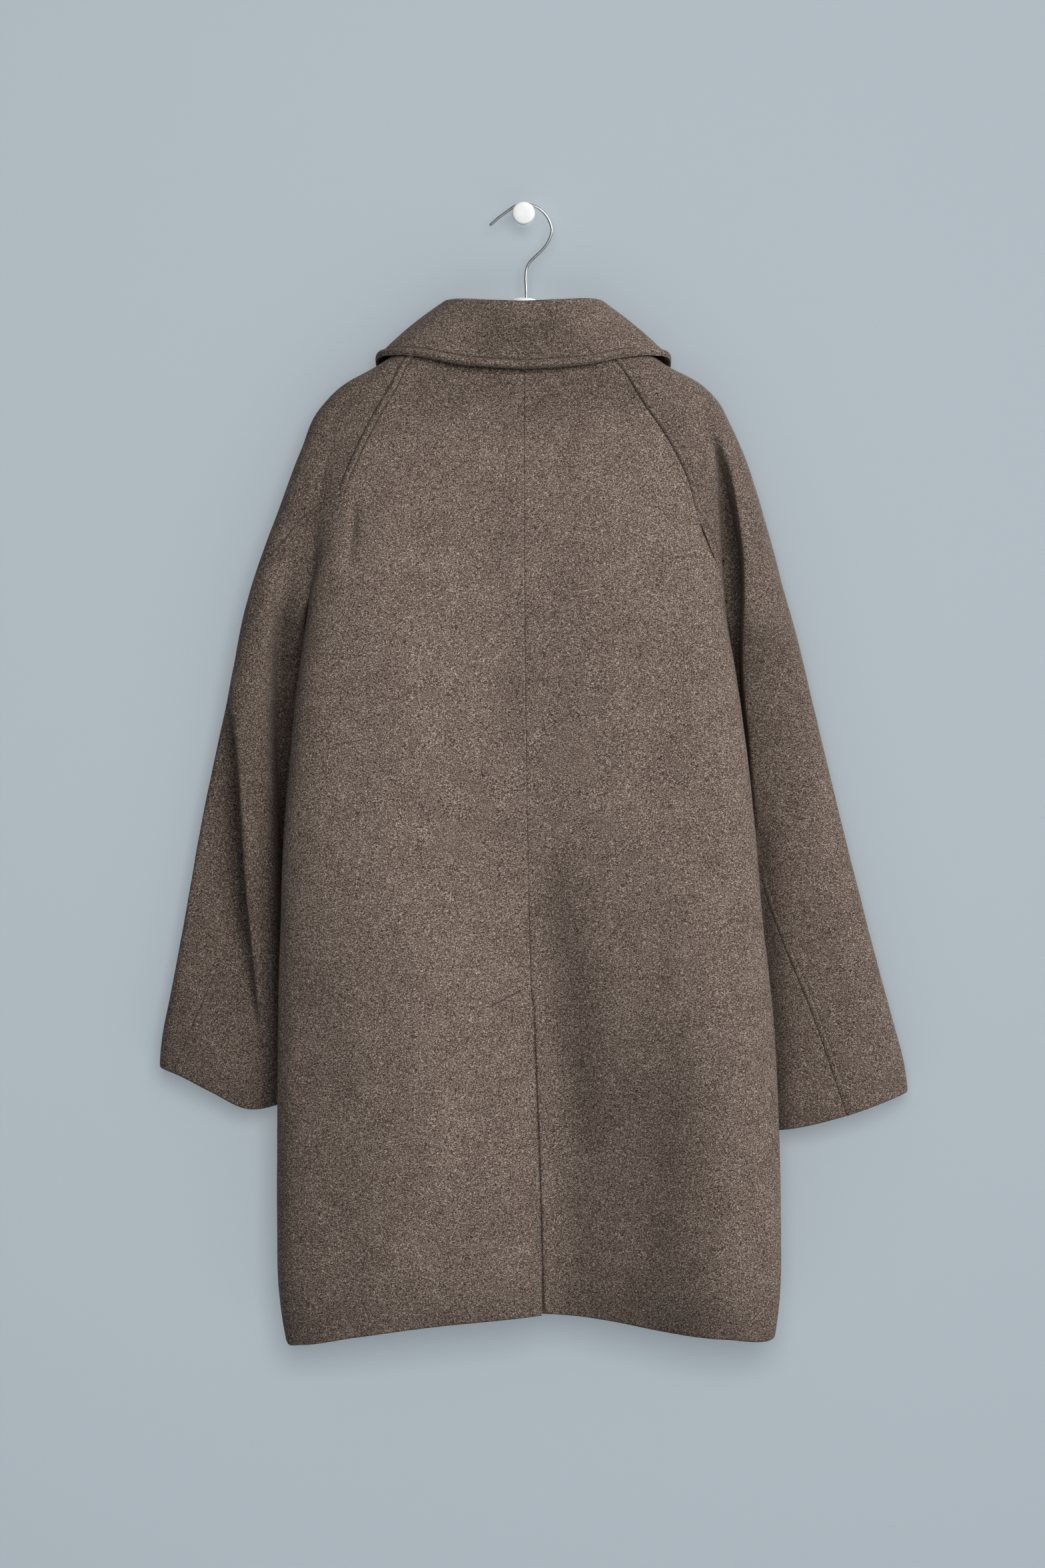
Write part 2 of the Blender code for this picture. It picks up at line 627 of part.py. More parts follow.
def wall_object(name, grid, normals, wall, facing, material, raised=None):
    """Make a closed cloth wall: the grid outside, the same grid moved in by the wall inside, and a rim."""
    rows, columns = grid.shape[:2]
    drawn = trimmed(grid, SEAM_GAP / 2)
    lift = 0.0 if raised is None else raised[..., None]
    outer = drawn + normals * lift
    inner = drawn - normals * wall
    points = np.concatenate([outer.reshape(-1, 3), inner.reshape(-1, 3)])
    inside = rows * columns
    faces = []
    for row in range(rows - 1):
        for column in range(columns - 1):
            a = row * columns + column
            quad = (a, a + columns, a + columns + 1, a + 1)
            faces.append(quad)
            faces.append(tuple(inside + corner for corner in reversed(quad)))
    border = [row * columns + column for row, column in border_cells(grid)]
    heights = grid[..., 2].ravel()
    for first, second in zip(border, border[1:] + border[:1]):
        if heights[first] > heights[second]:
            faces.append((first, second, inside + second))
            faces.append((first, inside + second, inside + first))
        else:
            faces.append((first, second, inside + first))
            faces.append((second, inside + second, inside + first))
    if facing < 0:
        faces = [tuple(reversed(face)) for face in faces]
    return mesh_object(name, points, faces, material)


def mesh_object(name, points, faces, material):
    """Make a smooth-shaded object from points in millimetres."""
    mesh = bpy.data.meshes.new(name)
    mesh.from_pydata([tuple(point) for point in np.asarray(points) * MM], [], faces)
    mesh.validate()
    mesh.shade_smooth()
    mesh.materials.append(material)
    item = bpy.data.objects.new(name, mesh)
    bpy.context.scene.collection.objects.link(item)
    return item


def finish(name):
    """Make the Principled material of a named finish."""
    colour, roughness, metallic = FINISHES[name]
    material = bpy.data.materials.new(name)
    material.use_nodes = True
    shader = material.node_tree.nodes["Principled BSDF"]
    shader.inputs["Base Color"].default_value = (*colour, 1.0)
    shader.inputs["Roughness"].default_value = roughness
    shader.inputs["Metallic"].default_value = metallic
    return material


# Coat

PANEL_GRIDS = {"back": back_grid, "front": front_grid, "top": top_grid, "under": under_grid}
PANEL_NAMES = {"back": "back_{}", "front": "front_{}", "top": "sleeve_{}_top", "under": "sleeve_{}_under"}
PANEL_FACING = {"back": 1.0, "front": 1.0, "top": 1.0, "under": -1.0}


def coat_panels(wool):
    """Build the backs, fronts and sleeves, and return their grids."""
    grids = {}
    normals = {}
    facings = {}
    for side in SIDES:
        for panel, make in PANEL_GRIDS.items():
            name = PANEL_NAMES[panel].format(side)
            grids[name] = make(side)
            facings[name] = PANEL_FACING[panel] * SIGN[side]
            normals[name] = grid_normals(grids[name], facings[name])
    share_seam_normals(grids, normals)
    for name, grid in grids.items():
        raised = None
        if name.endswith("_top"):
            raised = np.zeros(grid.shape[:2])
            raised[:, [1, -2]] = WELT_HEIGHT
        wall_object(name, grid, normals[name], CLOTH_WALL, facings[name], wool, raised)
    return grids


def vent_underlap(wool):
    """Build the strip that carries on from the right back's edge under the left back at the vent."""
    drop = np.linspace(VENT_DROP + VENT_LAP_RISE[1], UNDERLAP_FOOT, ROWS_UNDERLAP + 1)[:, None]
    back = np.linspace(UNDERLAP_GAP, UNDERLAP_WIDTH, COLUMNS_UNDERLAP + 1)[None, :]
    x = CENTRE_BACK_AT(drop) - VENT_LAP - back
    y = trunk_face("left", "back", -x, drop + 0 * x) + VENT_SINK
    grid = np.stack([x, y, -(drop + 0 * x)], axis=2)
    facing = -1.0
    wall_object("vent_underlap", grid, grid_normals(grid, facing), CLOTH_WALL, facing, wool)


def neck_ring(grids, side):
    """Join the top edges of one side's panels, from the centre back to the collar's front end."""
    names = [PANEL_NAMES[panel].format(side) for panel in ("back", "top", "front")]
    edges = [grids[name][0] for name in names]
    inward = -SIGN[side] * edges[2][:, 0]
    end = [np.interp(-COLLAR[-1][1], inward, edges[2][:, axis]) for axis in range(3)]
    front = edges[2][1:][inward[1:] < -COLLAR[-1][1]]
    return np.concatenate([edges[0], edges[1][1:], front, [end]])


def collar_section(along, neck, side):
    """Lay one section of the collar's face: up the stand, over the roll and down the fall."""
    at = {name: float(curve(along)) for name, curve in COLLAR_AT.items()}
    roll = np.array([SIGN[side] * at["roll_x"], at["roll_y"], -at["roll_drop"]])
    edge = np.array([SIGN[side] * at["edge_x"], at["edge_y"], -at["edge_drop"]])
    out = np.array([roll[0], roll[1] - NECK_AXIS_Y, 0.0])
    out /= np.linalg.norm(out)
    up = np.array([0.0, 0.0, 1.0])
    centre = roll - up * COLLAR_ROLL_RADIUS
    foot = neck + up * COLLAR_STAND_GAP - out * (CLOTH_WALL + COLLAR_FOOT_GAP)
    angles = np.radians(COLLAR_ROLL_DEGREES)
    arc = [centre + COLLAR_ROLL_RADIUS * (math.cos(a) * out + math.sin(a) * up) for a in angles]
    stand = [foot + (arc[0] - foot) * share for share in COLLAR_STAND_SHARES]
    fall = edge - arc[-1]
    length = np.linalg.norm(fall)
    bow = out - fall * float(out @ fall) / length ** 2
    bow *= COLLAR_BELLY / np.linalg.norm(bow)
    welt = (1 - (COLLAR_WELT_WIDTH + COLLAR_WELT_SLOPE) / length, 1 - COLLAR_WELT_WIDTH / length, 1.0)
    shares = COLLAR_FALL_SHARES + welt
    spread = [arc[-1] + fall * share + bow * math.sin(math.pi * share) for share in shares]
    return np.array(stand + arc + spread)


def collar(grids, wool):
    """Build the turned-down collar from sections round the neck."""
    sections = []
    for side in SIDES:
        ring = neck_ring(grids, side)
        steps = np.linalg.norm(np.diff(ring, axis=0), axis=1)
        length = np.concatenate([[0.0], np.cumsum(steps)])
        half = []
        for along in np.linspace(0, 1, COLUMNS_COLLAR // 2 + 1):
            neck = np.array([np.interp(along * length[-1], length, ring[:, axis]) for axis in range(3)])
            half.append(collar_section(along, neck, side))
        sections.append(half)
    grid = np.array(sections[0][:0:-1] + sections[1])
    facing = -1.0
    raised = np.zeros(grid.shape[:2])
    raised[:, -2:] = COLLAR_WELT_HEIGHT
    wall_object("collar", grid, grid_normals(grid, facing), COLLAR_WALL, facing, wool, raised)


def buttons(horn):
    """Build the front's buttons, just clear of the left front's face."""
    for number, drop in enumerate(BUTTON_DROPS, start=1):
        near = np.linspace(drop - BUTTON_RADIUS, drop + BUTTON_RADIUS, BUTTON_PROBES)
        base = float(np.max(TRUNK_AT["front"](near))) + BUTTON_CLEARANCE
        profile = (
            (BUTTON_RADIUS - BUTTON_RIM, base),
            (BUTTON_RADIUS, base + BUTTON_RIM),
            (BUTTON_RADIUS, base + BUTTON_THICKNESS - BUTTON_RIM),
            (BUTTON_RADIUS - BUTTON_RIM, base + BUTTON_THICKNESS),
        )
        turned_object(f"button_{number}", profile, BUTTON_SIDES, -drop, horn)


# Hanger and peg

def turned_object(name, profile, sides, height, material):
    """Turn a profile of radius and y about the line along Y at a height, with flat ends."""
    angles = np.linspace(0, 2 * math.pi, sides, endpoint=False)
    points = [(r * math.cos(a), y, height + r * math.sin(a)) for r, y in profile for a in angles]
    faces = []
    for ring in range(len(profile) - 1):
        for step in range(sides):
            a = ring * sides + step
            b = ring * sides + (step + 1) % sides
            faces.append((a, b, b + sides, a + sides))
    last = (len(profile) - 1) * sides
    faces.append(tuple(range(sides - 1, -1, -1)))
    faces.append(tuple(range(last, last + sides)))
    if profile[-1][1] > profile[0][1]:
        faces = [tuple(reversed(face)) for face in faces]
    return mesh_object(name, points, faces, material)


def smooth_path(points, count):
    """Lay evenly spaced points on a smooth curve through a list of points."""
    points = np.array(points, dtype=float)
    steps = np.linalg.norm(np.diff(points, axis=0), axis=1)
    length = np.concatenate([[0.0], np.cumsum(steps)])
    even = np.linspace(0, length[-1], count)
    columns = [smooth_curve(np.column_stack([length, column]))(even) for column in points.T]
    return np.stack(columns, axis=1)


def swept_object(name, path, half_y, half_up, sides, material):
    """Sweep an ellipse along a path in one XZ plane, with flat ends."""
    tangent = np.gradient(path, axis=0)
    tangent /= np.linalg.norm(tangent, axis=1, keepdims=True)
    depth = np.array([0.0, 1.0, 0.0])
    points = []
    for centre, along in zip(path, tangent):
        over = np.array([-along[2], 0.0, along[0]])
        for angle in np.linspace(0, 2 * math.pi, sides, endpoint=False):
            offset = half_up * math.cos(angle) * over + half_y * math.sin(angle) * depth
            points.append(centre + offset)
    faces = []
    for ring in range(len(path) - 1):
        for step in range(sides):
            a = ring * sides + step
            b = ring * sides + (step + 1) % sides
            faces.append((a, a + sides, b + sides, b))
    last = (len(path) - 1) * sides
    faces.append(tuple(range(sides)))
    faces.append(tuple(range(last + sides - 1, last - 1, -1)))
    return mesh_object(name, points, faces, material)


def in_plane(points, y):
    """Put points of x and z in the plane at y."""
    return [(x, y, z) for x, z in points]


def hanger(paint, steel):
    """Build the hanger's arms with its neck, and the wire hook."""
    arms_path = smooth_path(in_plane(HANGER_PATH, HANGER_Y), HANGER_POINTS)
    arms = swept_object("hanger_arms", arms_path, HANGER_HALF_DEPTH, HANGER_HALF_HEIGHT, HANGER_SIDES, paint)
    neck_path = np.array(in_plane(((0.0, HANGER_NECK_FOOT), (0.0, HANGER_NECK_TOP)), HANGER_Y))
    radius = HANGER_NECK_RADIUS
    neck = swept_object("hanger_neck", neck_path, radius, radius, HANGER_NECK_SIDES, paint)
    neck.hide_render = True
    neck.display_type = "WIRE"
    joined = arms.modifiers.new("neck", "BOOLEAN")
    joined.operation = "UNION"
    joined.object = neck
    hook_path = smooth_path(in_plane(HOOK_PATH, HOOK_Y), HOOK_POINTS)
    swept_object("hanger_hook", hook_path, HOOK_WIRE_RADIUS, HOOK_WIRE_RADIUS, HOOK_SIDES, steel)


def main():
    """Clear the scene and build every piece."""
    for item in list(bpy.data.objects):
        bpy.data.objects.remove(item, do_unlink=True)
    wool = finish("wool")
    paint = finish("white_paint")
    grids = coat_panels(wool)
    vent_underlap(wool)
    collar(grids, wool)
    buttons(finish("horn"))
    hanger(paint, finish("steel"))
    turned_object("wall_peg", PEG_PROFILE, PEG_SIDES, 0.0, paint)


main()
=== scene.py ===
"""Looks of the long raglan coat on its hanger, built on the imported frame.

Metres, +Z up, the wall at y = 0 and the coat's back towards -Y. Tables are in millimetres, as in the
part's source: x outward from the centre line, and drop below the peg's axis.
"""

import json
import math

import bpy
import numpy as np
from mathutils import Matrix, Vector, noise
from mathutils.bvhtree import BVHTree

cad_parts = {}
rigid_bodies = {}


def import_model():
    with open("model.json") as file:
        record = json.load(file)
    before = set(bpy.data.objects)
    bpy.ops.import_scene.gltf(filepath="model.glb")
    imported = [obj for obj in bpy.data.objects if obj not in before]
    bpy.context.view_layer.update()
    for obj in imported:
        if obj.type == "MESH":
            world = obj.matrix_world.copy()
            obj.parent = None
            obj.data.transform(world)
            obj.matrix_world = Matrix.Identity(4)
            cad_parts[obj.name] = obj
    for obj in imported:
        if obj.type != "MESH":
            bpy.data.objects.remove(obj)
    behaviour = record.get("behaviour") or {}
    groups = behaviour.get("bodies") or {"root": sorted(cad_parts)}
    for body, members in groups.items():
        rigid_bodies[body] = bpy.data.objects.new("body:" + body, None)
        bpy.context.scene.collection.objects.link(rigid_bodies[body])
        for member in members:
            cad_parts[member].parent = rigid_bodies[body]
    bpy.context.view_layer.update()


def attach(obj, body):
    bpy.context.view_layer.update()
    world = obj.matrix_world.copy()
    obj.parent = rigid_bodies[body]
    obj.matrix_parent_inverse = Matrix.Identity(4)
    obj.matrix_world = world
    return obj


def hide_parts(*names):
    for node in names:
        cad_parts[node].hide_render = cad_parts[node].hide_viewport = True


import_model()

MM = 0.001
SIDES = ("left", "right")
SIGN = {"left": -1.0, "right": 1.0}

# Cloth
CLOTH_WALL = 2.4
HEM_WALL = 4.6
HEM_REACH = 36.0
HEM_FADE = 6.0
COLLAR_WALL = 3.4
WELT_WIDTH = 9.0
WELT_HEIGHT = 2.0
STITCH_LINE = 7.0
ARMPIT = {"left": 420.0, "right": 424.0}
BRANCH = {"left": 285.0, "right": 303.0}
SCOOP_POWER = 1.5
RAGLAN_RUN_IN = (-78.0, -18.0)
BLEND_MAX = 18.0
BLEND_REACH = 110.0
EDGE_SLOPE = 3.0
BODY_BACK_POWER = 3.8
BODY_FRONT_POWER = 1.8
SLEEVE_POWER = {"left": 2.0, "right": 2.4}
SLEEVE_SKEW = {"left": 0.6, "right": 1.0}
FOLD_FLOOR = {"left": 1.0, "right": 0.6}
FOLD_FADE = 24.0
FOLD_PLACES = np.linspace(-0.4, 1.4, 10)
CREASE_PLACES = np.array([-1.6, -0.8, -0.3, 0.0, 0.3, 0.8, 1.6])
FOLD_OUTER_SIDE = {"left": 1.0, "right": -1.0}

# Vent and front edges
VENT_DROP = 772.0
VENT_LAP = 6.0
VENT_SINK = 3.6
VENT_SINK_REACH = 60.0
VENT_SINK_RISE = (-90.0, -20.0)
VENT_LAP_RISE = (35.0, 65.0)
UNDERLAP_WIDTH = 42.0
UNDERLAP_FOOT = 1112.0
UNDERLAP_GAP = 0.5
UNDERLAP_ROWS = 60
UNDERLAP_COLUMNS = 10
FRONT_LAP = {"left": 36.0, "right": 32.0}
FRONT_SINK = {"left": 0.0, "right": 5.0}
FRONT_SINK_FROM = 85.0
FRONT_SINK_FULL = 45.0

# Trunk of the coat: half widths to each side, and the y of its side edges, back and front
TRUNK_COLUMNS = ("drop", "left", "right", "side", "back", "front")
TRUNK = (
    (95, 55, 55, -38, -54, -20),
    (120, 92, 92, -38, -60, -20),
    (150, 136, 136, -38, -69, -20),
    (200, 186, 184, -40, -80, -20),
    (250, 200, 197, -45, -90, -20),
    (300, 208, 200, -50, -98, -20),
    (360, 214, 203, -55, -106, -18),
    (420, 222, 208, -60, -112, -16),
    (464, 228, 215, -60, -114, -15),
    (540, 236, 226, -60, -116, -14),
    (630, 244, 236, -60, -116, -14),
    (740, 248, 245, -60, -116, -14),
    (830, 250, 253, -60, -114, -14),
    (950, 251, 258, -60, -111, -14),
    (1080, 251, 260, -60, -108, -14),
    (1170, 249, 262, -60, -105, -14),
)

# Sleeves: outer edge, inner edge, and how far the back and front of the tube swell from the line between
SLEEVE_COLUMNS = ("drop", "outer", "outer_y", "inner", "inner_y", "back", "front")
SLEEVE = {
    "left": (
        (95, 52, -38, 10, -38, 20, 16),
        (112, 82, -38, 20, -38, 22, 17),
        (122, 98, -38, 28, -38, 24, 18),
        (140, 126, -38, 40, -38, 26, 18),
        (156, 149, -38, 52, -38, 28, 18),
        (174, 182, -38, 70, -38, 30, 18),
        (199, 208, -38, 95, -38, 32, 18),
        (241, 227, -40, 125, -42, 34, 19),
        (299, 249, -42, 160, -48, 34, 20),
        (360, 271, -44, 195, -54, 32, 22),
        (420, 288, -46, 222, -60, 30, 24),
        (441, 292, -46, 219, -47, 30, 24),
        (464, 296, -46, 216, -40, 30, 24),
        (500, 303, -45, 214, -34, 30, 23),
        (540, 312, -44, 212, -29, 30, 22),
        (600, 325, -42, 210, -24, 32, 20),
        (750, 352, -38, 214, -22, 33, 18),
        (872, 376, -34, 230, -24, 32, 16),
        (960, 393, -34, 240, -24, 30, 16),
    ),
    "right": (
        (95, 52, -38, 10, -38, 20, 16),
        (112, 82, -38, 20, -38, 22, 17),
        (122, 98, -38, 28, -38, 24, 18),
        (140, 126, -38, 40, -38, 27, 18),
        (157, 149, -38, 52, -38, 30, 18),
        (170, 174, -38, 66, -38, 32, 18),
        (194, 200, -38, 86, -38, 36, 18),
        (211, 209, -38, 98, -39, 38, 18),
        (253, 228, -40, 126, -43, 40, 19),
        (293, 241, -42, 150, -47, 40, 20),
        (350, 257, -45, 181, -53, 40, 22),
        (396, 269, -47, 200, -58, 39, 24),
        (424, 277, -47, 208.7, -60, 38, 24),
        (446, 283, -47, 207.5, -48, 36, 24),
        (480, 291, -46, 206.5, -39, 34, 24),
        (540, 305, -44, 206, -30, 32, 22),
        (600, 320, -42, 207, -25, 31, 20),
        (713, 348, -39, 214, -22, 30, 18),
        (832, 380, -36, 223, -23, 30, 17),
        (899, 398, -34, 232, -24, 30, 16),
        (975, 411, -34, 242, -24, 30, 16),
    ),
}

# The long fold down each sleeve: where it runs and how much of the tube's swell is lost beyond it
FOLD_COLUMNS = ("drop", "x", "share", "width")
FOLD = {
    "left": ((470, 300, 0.0, 6.0), (500, 297, 0.35, 4.0), (545, 292, 0.66, 2.6), (590, 289, 0.76, 2.6),
             (700, 282, 0.74, 2.6), (765, 275, 0.55, 3.0), (825, 268, 0.25, 6.0), (870, 262, 0.0, 10.0)),
    "right": ((205, 198, 0.0, 18.0), (225, 202, 0.24, 16.0), (263, 211, 0.6, 11.0), (313, 219, 0.86, 6.0),
              (363, 224, 0.98, 2.8), (395, 224, 1.0, 2.6), (440, 223, 1.0, 2.6), (475, 224, 0.98, 2.6),
              (510, 227, 0.9, 3.0), (545, 231, 0.75, 4.0), (600, 236, 0.3, 8.0), (650, 240, 0.0, 12.0)),
}

# Seam lines on the sections, as x at each drop
RAGLAN_BACK = {
    "left": ((100, 50), (118, 68), (135, 92), (150, 112), (180, 129), (211, 147), (247, 165), (283, 180),
             (306, 186), (345, 198), (430, 224)),
    "right": ((100, 46), (118, 62), (135, 78), (156, 96), (197, 122), (243, 152), (279, 168), (303, 174),
              (361, 196), (430, 211)),
}
RAGLAN_FRONT = {
    "left": ((100, 50), (132, 64), (200, 120), (300, 170), (345, 192), (430, 224)),
    "right": ((100, 50), (132, 64), (200, 118), (300, 165), (345, 186), (430, 211)),
}
SLEEVE_SEAM_BACK = {
    "left": ((310, 214), (349, 249), (362, 264), (400, 276), (440, 283), (489, 291), (545, 300), (590, 297),
             (700, 290), (726, 292), (777, 309), (856, 341), (960, 378)),
    "right": ((326, 190), (369, 206), (424, 215), (475, 217), (540, 222), (620, 231), (692, 243), (745, 264),
              (813, 292), (923, 330), (975, 348)),
}
SLEEVE_SEAM_FRONT = {
    "left": ((340, 198), (420, 238), (600, 250), (750, 268), (885, 292), (960, 305)),
    "right": ((345, 194), (424, 230), (600, 245), (750, 265), (900, 300), (975, 316)),
}
CENTRE_BACK = ((95, 0), (500, 2), (772, 7), (959, 14), (1170, 20))

# Edges: neck and hem as drops across each panel, cuffs as drops at each x
NECK_BACK = ((0.0, 122), (1.0, 118))
NECK_SLEEVE = ((0.0, 118), (0.45, 112), (1.0, 132))
NECK_FRONT = ((0.0, 132), (0.25, 152), (0.5, 173), (1.0, 184))
HEM_BACK = {
    "left": ((0.0, 1124), (0.42, 1136), (0.66, 1146), (0.86, 1154), (0.95, 1153), (1.0, 1144)),
    "right": ((0.0, 1122), (0.28, 1129), (0.45, 1138), (0.7, 1146), (0.94, 1145), (1.0, 1136)),
}
HEM_FRONT = {
    "left": ((0.0, 1144), (0.5, 1130), (1.0, 1116)),
    "right": ((0.0, 1136), (0.5, 1126), (1.0, 1114)),
}
CUFF = {
    "left": ((225, 900), (240, 909), (253, 914), (279, 917), (320, 898), (354, 881), (380, 872)),
    "right": ((225, 941), (258, 939), (330, 923), (394, 900), (410, 894)),
}

# Collar: roll line and outer edge, from the centre back (0) round to the front end (1)
COLLAR_COLUMNS = ("along", "roll_x", "roll_y", "roll_drop", "edge_x", "edge_y", "edge_drop")
COLLAR = (
    (0.00, 0, -70, 92, 0, -80, 162.5),
    (0.18, 38, -68, 90.5, 62, -79.5, 158),
    (0.32, 65, -58, 88.5, 106, -76, 149),
    (0.42, 75, -47, 88.5, 133, -65, 146),
    (0.50, 78, -37, 89, 151, -42, 148),
    (0.54, 77, -31, 91, 152, -23, 154),
    (0.58, 75, -24, 94, 148.5, -12, 168),
    (0.72, 59, -14, 112, 118, -5, 210),
    (0.86, 38, -12, 136, 87, -4.5, 241),
    (1.00, 14, -12, 156, 58, -4.5, 260),
)
COLLAR_ROLL_RADIUS = 6.0
COLLAR_STAND_GAP = 3.2
COLLAR_FOOT_GAP = 0.5
COLLAR_BELLY = 2.5
COLLAR_STITCH_LINE = 9.0
COLLAR_WELT_HEIGHT = 2.6
COLLAR_STAND_ROWS = 7
COLLAR_ROLL_ROWS = 13
COLLAR_FALL_ROWS = 14
NECK_AXIS_Y = -38.0

# Mesh sizes in millimetres, and the places of columns near an edge
EDGE_STEPS = (0.0, 0.5, 1.1, 1.8, 2.8, 4.2, 6.0)
BACK_EDGE_STEPS = (0.0, 0.5, 1.1, 1.8, 2.8, 4.2, 5.2, 5.8, 6.3, 6.8, 7.3, 7.9, 8.7, 10.0, 12.0)
WELT_STEPS = (0.0, 0.4, 0.9, 1.6, 2.5, 3.5, 4.5, 5.4, 6.0, 6.5, 6.8, 7.0, 7.2, 7.6, 8.2, 9.0)
COLLAR_EDGE_STEPS = (16.0, 13.5, 11.8, 10.6, 9.9, 9.4, 9.0, 8.6, 8.1, 7.4, 6.4, 5.2, 4.0, 2.9, 1.9, 1.1,
                     0.5, 0.0)
PANEL_STEP = {"back": 4.2, "front": 6.0, "top": 2.5, "under": 3.0}
PANEL_WIDTH = {"back": 250.0, "front": 285.0, "top": 250.0, "under": 190.0}
ROW_STEP = 4.2
COLLAR_COLUMNS_HALF = 90
SECTION_POINTS = 220
CHUNK = 2500
HALVINGS = 40
CUFF_FIRST_DROP = 900.0
CUFF_STEPS = 6
TINY = 1e-6

# Edge shapes: how far the face rounds off or a groove reaches, and how deep
SEAM_ROUND = (3.0, 1.5)
CENTRE_ROUND = (1.7, 0.75)
FREE_ROUND = (3.2, 1.8)
SEAM_GROOVE = (0.9, 0.5)
COLLAR_GROOVE = (0.9, 1.1)
VENT_GROOVE = (1.5, 3.2)
VENT_GROOVE_RISE = (8.0, 45.0)
VENT_GROOVE_PLACE = 0.8
RIDGE_POWER = 0.75
# At the armpit the body and sleeve keep to one line: how far the hold reaches from the seam and along it
ARMPIT_HOLD = 8.0
ARMPIT_REACH = 45.0
NORMAL_SPREAD = 4
# Creases fade out towards the under sleeve's top edge, at their ends and where the cloth turns away
CREASE_FADE = 26.0
CREASE_END_SHARE = 0.3
CREASE_TURN = 0.5
# How far up from its hem each panel turns inward, and how far in
HEM_TUCK = {"back": (90.0, 8.0), "front": (90.0, 8.0), "top": (50.0, 4.0), "under": (50.0, 4.0)}

# How plainly the seam down the back of each sleeve shows at each drop: it sinks into the armpit's folds
SEAM_SHOWS = {
    "left": ((95, 1.0), (255, 1.0), (300, 0.5), (365, 0.4), (420, 0.15), (680, 0.15), (740, 0.3), (960, 0.3)),
    "right": ((95, 0.8), (250, 0.8), (300, 0.4), (365, 0.3), (420, 0.1), (660, 0.1), (720, 0.4), (975, 0.4)),
}

# Creases, listed one by one: piece, face, half width and depth (troughs positive), and the line as x and drop
CREASES = (
    ("body", "back", 5, 2.6, ((-171, 288), (-174, 330), (-176, 375))),
    ("body", "back", 6, 2.2, ((178, 312), (186, 338), (194, 366))),
    ("body", "back", 44, 15.0, ((8, 560), (26, 770), (40, 960), (46, 1300))),
    ("body", "back", 54, -14.0, ((156, 600), (192, 820), (206, 980), (208, 1300))),
    ("body", "back", 30, 7.0, ((134, 820), (128, 980), (122, 1200))),
    ("body", "back", 44, 8.0, ((-240, 700), (-208, 940), (-186, 1200))),
    ("body", "back", 40, -5.0, ((-110, 640), (-100, 860), (-80, 1060))),
    ("body", "back", 34, 4.0, ((-40, 240), (-34, 420), (-26, 620))),
    ("body", "back", 40, -4.0, ((70, 200), (76, 360), (80, 560))),
    ("body", "back", 34, 4.0, ((150, 420), (140, 540), (128, 660))),
    ("body", "back", 40, 4.0, ((-170, 400), (-176, 540), (-180, 660))),
    ("body", "front", 40, 7.0, ((-150, 520), (-140, 760), (-130, 1180))),
    ("body", "front", 44, 6.0, ((150, 560), (150, 800), (140, 1180))),
    ("body", "front", 34, -4.0, ((-80, 600), (-84, 820), (-90, 1160))),
    ("body", "front", 10, 2.4, ((176, 330), (184, 400), (190, 470))),
    ("body", "front", 10, 2.4, ((-180, 330), (-190, 400), (-196, 470))),
    ("left", "front", 14, 3.0, ((-262, 560), (-286, 640), (-300, 740))),
    ("right", "front", 14, 3.0, ((262, 560), (290, 650), (306, 760))),
    ("left", "back", 15, 24.0, ((-222, 290), (-240, 400), (-240, 520), (-234, 660), (-228, 900))),
    ("right", "back", 18, 9.0, ((230, 560), (238, 700), (246, 860), (250, 1020))),
    ("right", "back", 16, 1.8, ((300, 520), (322, 620), (340, 740))),
)
LUMP_SIZES = ((26.0, 0.22), (90.0, 0.7))

# Painted shade, and painted light where the share is negative: the cloth's colour is darkened along lines
# where shade falls, on faces turned from the light, under the collar and towards the hem: piece, half width,
# share, and the line as x and drop
PAINTED_SHADES = (
    ("back", 20, 0.16, ((26, 600), (42, 740), (60, 860), (84, 980))),
    ("back", 56, 0.30, ((96, 760), (116, 960), (124, 1140), (126, 1340))),
    ("back", 34, 0.20, ((-240, 820), (-236, 1000), (-226, 1340))),
    ("back", 40, 0.28, ((-190, 176), (-60, 178), (0, 180), (60, 178), (190, 176))),
    ("back", 80, -0.20, ((-100, 200), (-108, 560), (-84, 900), (-70, 1240))),
    ("back", 40, 0.16, ((-420, 1150), (0, 1130), (420, 1145))),
    ("collar", 34, 0.26, ((-70, 120), (0, 124), (70, 120))),
    ("left", 50, 0.14, ((-330, 760), (-340, 900), (-350, 1060))),
    ("right", 60, -0.12, ((290, 480), (330, 760), (370, 1080))),
)


def smooth_curve(rows, column=1):
    """Return a smooth function through a table's rows, from its first column to the given one."""
    table = np.array(rows, dtype=float)
    knots = table[:, 0]
    values = table[:, column]
    slopes = np.gradient(values, knots)

    def at(place):
        place = np.clip(place, knots[0], knots[-1])
        cell = np.clip(np.searchsorted(knots, place) - 1, 0, len(knots) - 2)
        width = knots[cell + 1] - knots[cell]
        t = (place - knots[cell]) / width
        start = (1 + 2 * t) * (1 - t) ** 2 * values[cell] + t * (1 - t) ** 2 * width * slopes[cell]
        end = t * t * (3 - 2 * t) * values[cell + 1] + t * t * (t - 1) * width * slopes[cell + 1]
        return start + end

    return at


def curves(rows, columns):
    """Return one smooth function for each named column of a table."""
    return {name: smooth_curve(rows, index) for index, name in enumerate(columns) if index}


def ease(t):
    """Rise smoothly from 0 to 1."""
    t = np.clip(t, 0.0, 1.0)
    return t * t * (3 - 2 * t)


